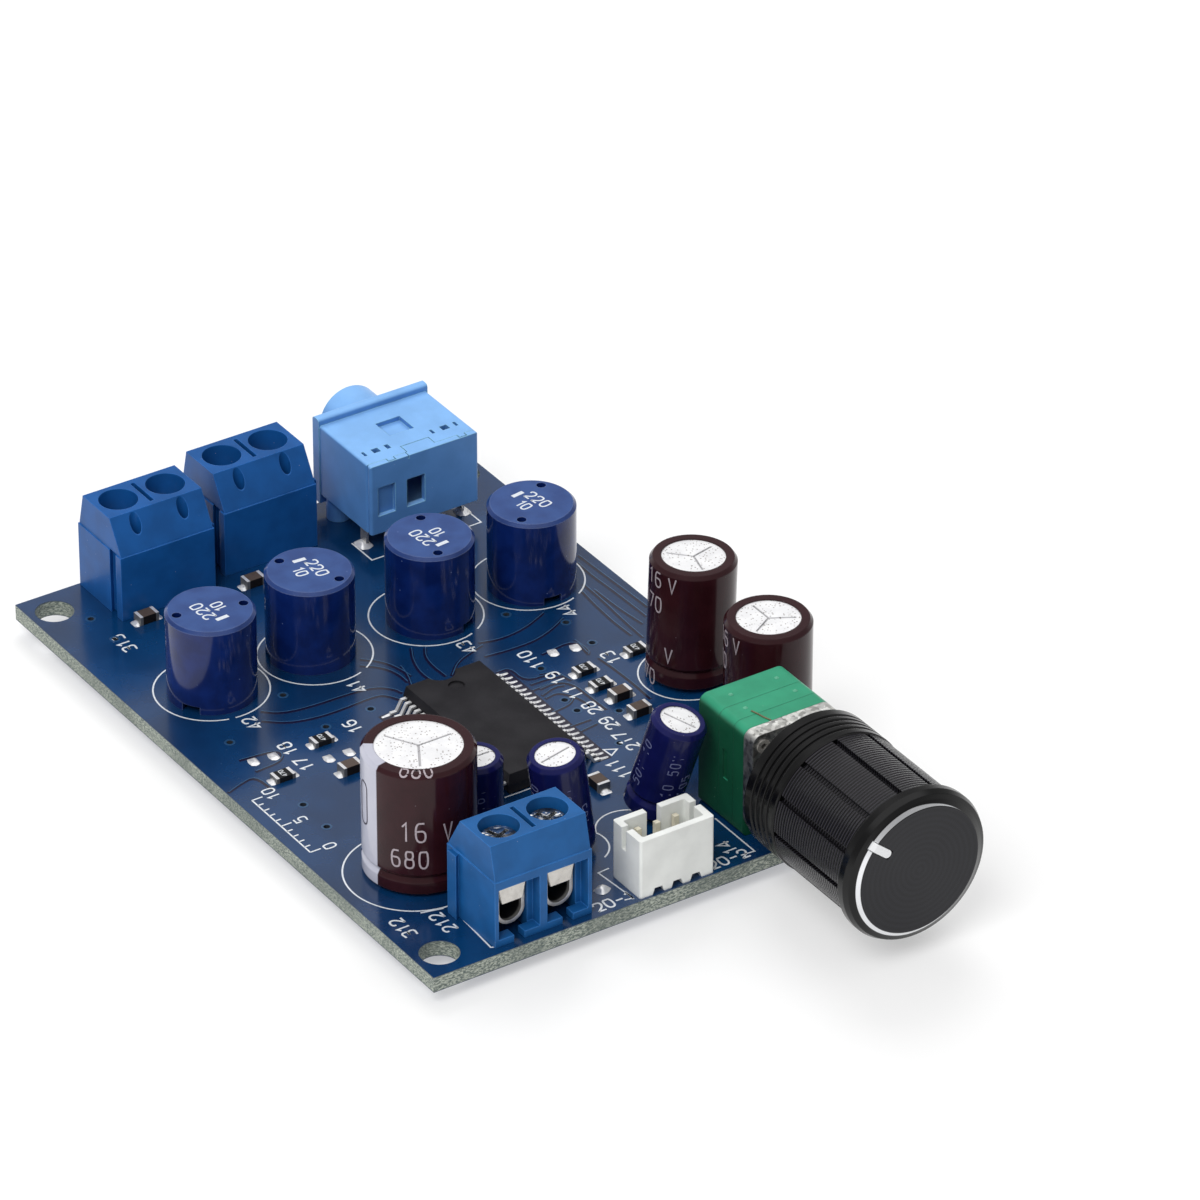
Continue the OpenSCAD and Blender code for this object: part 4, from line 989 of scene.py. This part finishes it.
def solder_ends():
    """Solder on the board: chip ends, chip leads, bare pads and the side pins of the jack."""
    shape = Shape()
    for node in ("chip_resistor_bodies", "chip_capacitor_bodies"):
        for low, high in solids(node):
            x, y = middle_of(low, high)
            upright = high[1] - low[1] > high[0] - low[0]
            for heading in (90, 270) if upright else (0, 180):
                turn = radians(heading)
                start = (x + cos(turn), y + sin(turn))
                shape.fillet(start, heading, 1.05, 0.55, 0.14 + 0.15 * high[2])
    leads = solids("amplifier_chip_leads")
    middle = sum(low[0] + high[0] for low, high in leads) / (2 * len(leads))
    for low, high in leads:
        toe, heading = (high[0], 0) if low[0] > middle else (low[0], 180)
        shape.fillet((toe, middle_of(low, high)[1]), heading, 0.37, 1.0, 0.15, steps=5, spread=1.0)
    for a, b in (((4.7, 37.9), (6.7, 37.7)), ((10.7, 34.6), (12.8, 34.5)), ((37.5, 38.4), (39.7, 38.0))):
        turn = atan2(b[1] - a[1], b[0] - a[0])
        for spot in (a, b):
            shape.dome(on_board, spot, (1.0, 1.3), 0.16, turn)
    shape.dome(on_board, (19.8, 3.3), (1.5, 1.3), 0.5, 0.4, sharp=2)
    for spot in ((32.9, 64.2), (43.9, 64.2)):
        shape.dome(on_board, spot, (1.5, 1.9), 0.5, 0.0, sharp=2)
    shape.piece("solder_on_board", solder("solder_bright"), "solder", smooth=True)


# Small plated holes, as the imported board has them
VIAS = (
    (4.66, 67), (4.78, 62.75), (12.8, 46), (18.3, 39.6), (4.6, 41.9), (13.3, 39.3), (4.8, 29.5),
    (4.7, 25.3), (37.5, 46.4), (41.4, 42.2), (41.5, 37.9), (34, 31.1), (34, 29), (35.1, 36.8),
    (37.2, 26.85), (34.25, 22.3)
)

# Painted shadow: dark bands below the two rows of chip leads: their places in x, and where they start and
# end in y
LEAD_SHADOW_ROWS = (18.9, 31.6)
LEAD_SHADOW_ENDS = (20.7, 38.1)

# Gaps between copper areas under the mask, as lines on the board. Each lies a little higher than the last
# one, so that none flickers where two cross
GAP_STEP = 0.00004
COPPER_GAPS = (
    ((9.6, 44.7), (10.8, 43.5), (13.3, 42.9), (18.4, 42.8), (20.6, 42.4), (21.8, 41.2), (22.1, 40.2)),
    ((8.8, 43.3), (10.6, 41.7), (13.2, 41), (15.8, 40.9), (20, 41.2), (20.8, 40.4), (21.3, 39.4)),
    ((21.9, 47.2), (23.3, 45.9), (24, 44.2), (24.3, 42.2)),
    ((21.3, 46.3), (22.8, 45), (23.5, 43.3), (23.5, 41.5)),
    ((24.4, 44.2), (24.1, 42.4), (23.5, 40.9)),
    ((32.6, 43.6), (34.6, 43), (37.3, 43.3), (39.5, 44.2), (40.5, 44.7)),
    ((31.8, 41.3), (34.1, 41), (37.1, 41), (39.5, 41.8), (41.5, 42.9)),
    ((26.9, 46.3), (25.9, 44.4), (25.3, 42), (25.6, 39.9)),
    ((28, 45.6), (27.2, 44.3), (26.9, 42.6), (27, 40.4)),
    ((27.5, 40.2), (29.2, 41.9), (31.1, 42.6), (32.7, 43.1)),
    ((45.6, 45.8), (45.3, 43.2), (45.1, 39.7), (45.2, 36.9)),
    ((46.4, 46.9), (46.3, 43.3), (46, 39.1), (45.9, 36)),
    ((48, 50.3), (47.9, 47.5), (48.1, 44.2), (48.2, 38.9)),
    ((48.8, 51.4), (48.9, 47.7), (49.1, 43.1), (49.2, 40.2)),
    ((32.7, 34.9), (34.4, 34.9), (36.1, 34.6)),
    ((32.3, 34), (34.7, 34.1), (35.4, 33.6)),
    ((32.6, 32.8), (34.3, 33.4), (35.3, 33.1)),
    ((31.2, 38.4), (32.7, 38.4), (32.6, 35.7), (35.2, 35.5)),
    ((36.4, 38.7), (40.4, 39.2), (40.1, 36.6)),
    ((0.1, 34.8), (1.7, 35.4), (3.5, 35.8), (3.8, 33)),
    ((3.7, 38.8), (7.7, 38.4), (7.1, 36.6), (4, 36.4)),
    ((40.5, 35.4), (40.7, 33), (40.8, 29.7), (40.7, 26.9)),
    ((46.7, 45.5), (46.8, 41.4), (47.2, 38)),
    ((34.4, 35.9), (35.9, 35.5), (36.1, 34.1), (36.3, 33.5)),
    ((33, 33.8), (34.9, 34), (36.1, 32.9), (36.2, 29.9), (36.3, 27.6)),
    ((32.6, 32.2), (34.1, 32.5), (35.1, 30.9), (35.4, 29.4)),
    ((31.8, 29.9), (33.9, 30.1), (34.9, 31)),
    ((31.9, 27), (34.2, 27)),
    ((32.2, 25.8), (34.3, 26.1)),
    ((40.3, 39.1), (40.5, 36.9), (40, 36.3)),
)


def copper_under_mask():
    """Lines between copper areas with painted highlights beside them, painted shadow as dark bands below
    the chip's leads, raised rings around the small plated holes, and rings around the solder on the
    underside."""
    gaps_and_lead_shadows, rim_highlights = Shape(), Shape()
    for number, line in enumerate(COPPER_GAPS):
        gaps_and_lead_shadows.band(on_board, eased(line), 0.36, 0.005 + number * GAP_STEP)
        # Painted highlight: a paler line beside each gap, where the mask steps over copper.
        beside = [(x + 0.17, y + 0.17) for x, y in line]
        rim_highlights.band(on_board, eased(beside), 0.1, 0.0065 + number * GAP_STEP)
    # Painted shadow under the chip's two rows of leads.
    for x in LEAD_SHADOW_ROWS:
        gaps_and_lead_shadows.band(on_board, [(x, y) for y in LEAD_SHADOW_ENDS], 1.5, 0.004)
    gaps_and_lead_shadows.piece("copper_gaps_and_lead_shadows", mask_over("mask_in_gaps_and_lead_shadows", srgb(20, 16, 44)), "board")
    rim_highlights.piece("copper_rim_highlights", mask_over("mask_rim_highlights", srgb(48, 88, 124)), "board")
    rings = Shape()
    for x, y in VIAS:
        rings.ring(on_board, (x, y), 0.31, 0.52, 0.015, 20)
    for low, high in solids("solder_joints"):
        radius = (high[0] - low[0]) / 2
        rings.ring(under_board, middle_of(low, high), radius - 0.05, radius + 0.25, 0.02)
    rings.piece("mask_rings", mask_over("mask_on_rings", srgb(36, 74, 112)), "board")


def knob_pointer():
    """White paint in the pointer slot of the knob, round at its inner end."""
    low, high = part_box("volume_knob")
    middle = (low + high) / 2
    lay = turned((0, 0), radians(140))
    # Half the width of the stroke, and how far its back, its face and its face at the chamfer stand out
    half, back, front, cut = 0.4, -0.4, 0.02, -0.22

    def face(u, v, height):
        x, z = lay(u, v)
        return Vector((middle.x + x * MM, low.y - height * MM, middle.z + z * MM))

    outline = arc((4.62, 0), half, 90, 270, 15)
    outline += [(KNOB_FACE, -half), (KNOB_CHAMFER, -half), (KNOB_CHAMFER, half), (KNOB_FACE, half)]
    count = len(outline)
    points = [face(u, v, back) for u, v in outline]
    points += [face(u, v, cut if u > KNOB_FACE else front) for u, v in outline]
    top = list(range(count, 2 * count))
    faces = [tuple(top[:-3] + top[-1:]), tuple(top[-4:])]
    faces += [(i, (i + 1) % count, count + (i + 1) % count, count + i) for i in range(count)]
    shape = Shape()
    shape.add(points, faces)
    paint = printing("pointer_white", srgb(235, 236, 238), 0.4, 0.1)
    shape.piece("pointer_paint", paint, "knob_black", "knob")


def potentiometer_details():
    """A loose wire over the front deck and small moulded pips on the decks."""
    low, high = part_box("potentiometer_front_deck")
    top = (high.z - BOARD_HIGH.z) / MM
    wire = Shape()
    line = eased([(37.28, 5.7), (37.5, 4.9), (37.6, 4.3), (37.89, 3.46)])
    wire.band(on_board_at(top), line, 0.13, 0.1)
    wire.piece("deck_wire", plated("wire_dull", srgb(140, 132, 104), 0.4), "plated_metal")
    pips = Shape()
    for x, y in ((37.29, 8.95), (42.27, 8.96), (37.15, 6.41), (42.46, 6.31)):
        pips.dome(on_board_at(top), (x, y), (0.42, 0.42), 0.16, sharp=2)
    pips.piece("deck_pips", moulded("pip_green", srgb(96, 170, 140), 0.3, 0.03), "deck_green", smooth=True)


print_outlines()
print_numbers()
print_capacitors()
print_inductors()
solder_ends()
copper_under_mask()
knob_pointer()
potentiometer_details()


def stage_and_light():
    """White table, white surroundings and soft lamps."""
    floor = Shape()
    level = CAD_BOX[0].z - 0.00002
    floor.add([Vector((x, y, level)) for x, y in ((-2, -2), (2, -2), (2, 2), (-2, 2))], [(0, 1, 2, 3)])
    finish = Finish("table_white", Roughness=0.6, Specular_IOR_Level=0.2, Emission_Strength=0.4)
    finish.set("Emission Color", (1, 1, 1, 1))
    finish.set("Base Color", finish.mix(finish.noise(80.0), (0.56, 0.56, 0.56, 1), (0.59, 0.59, 0.59, 1)))
    table = floor.thing("table", finish.material)
    surroundings()
    for name, place, size, power, shine in (
        ("soft_box_left", (-0.45, -0.25, 0.65), 0.5, 4.2, 0.06),
        ("soft_box_back", (0.35, 0.6, 0.75), 0.6, 5.4, 0.2),
    ):
        soft_box(name, place, size, power * (1 - shine), False)
        soft_box(name + "_gleam", place, size, power * shine, True)


def surroundings():
    """White to the camera; in mirrors white near the table and overhead and dim between; even elsewhere."""
    world = bpy.data.worlds.new("studio")
    bpy.context.scene.world = world
    world.use_nodes = True
    world.cycles.sampling_method = "NONE"
    nodes = Nodes(world.node_tree)
    height = nodes.part(nodes.node("TexCoord", output="Generated"), 2)
    rising = height.ramp(0.02, 0.27, MIRROR_LOW, MIRROR_MIDDLE)
    mirrored = height.ramp(0.66, 0.86, rising, MIRROR_OVERHEAD)
    plain = nodes.node("LightPath", output="Is Glossy Ray").ramp(0, 1, AMBIENT, mirrored)
    shown = nodes.node("LightPath", output="Is Camera Ray").ramp(0, 1, plain, 1)
    background = nodes.node("Background", None, {"Color": (1, 1, 1, 1), "Strength": shown})
    nodes.node("OutputWorld", None, {"Surface": background})


def soft_box(name, place, size, power, mirrored):
    """A lamp that shows in mirrors alone, or lights all but mirrors."""
    data = bpy.data.lights.new(name, "AREA")
    data.size = size
    data.energy = power
    lamp = new_object(name, data)
    lamp.location = place
    lamp.rotation_euler = (-Vector(place)).to_track_quat("-Z", "Y").to_euler()
    lamp.visible_glossy = mirrored
    lamp.visible_diffuse = not mirrored


def photographer():
    """The camera, placed by the fit of the board in the photograph."""
    turn = Matrix.Rotation(radians(CAMERA_AZIMUTH), 4, "Z")
    turn @= Matrix.Rotation(radians(90 - CAMERA_ELEVATION), 4, "X")
    turn @= Matrix.Rotation(radians(CAMERA_ROLL), 4, "Z")
    from_aim = Vector((-CAMERA_OFFSET[0], -CAMERA_OFFSET[1], CAMERA_DISTANCE)) * MM
    data = bpy.data.cameras.new("camera")
    data.lens = CAMERA_LENS
    data.sensor_width = CAMERA_SENSOR
    data.clip_start = 0.01
    camera = new_object("camera", data)
    camera.matrix_world = Matrix.Translation(on_board(*CAMERA_AIM) + turn @ from_aim) @ turn
    bpy.context.scene.camera = camera


stage_and_light()
photographer()
bpy.context.scene.view_settings.view_transform = "Standard"
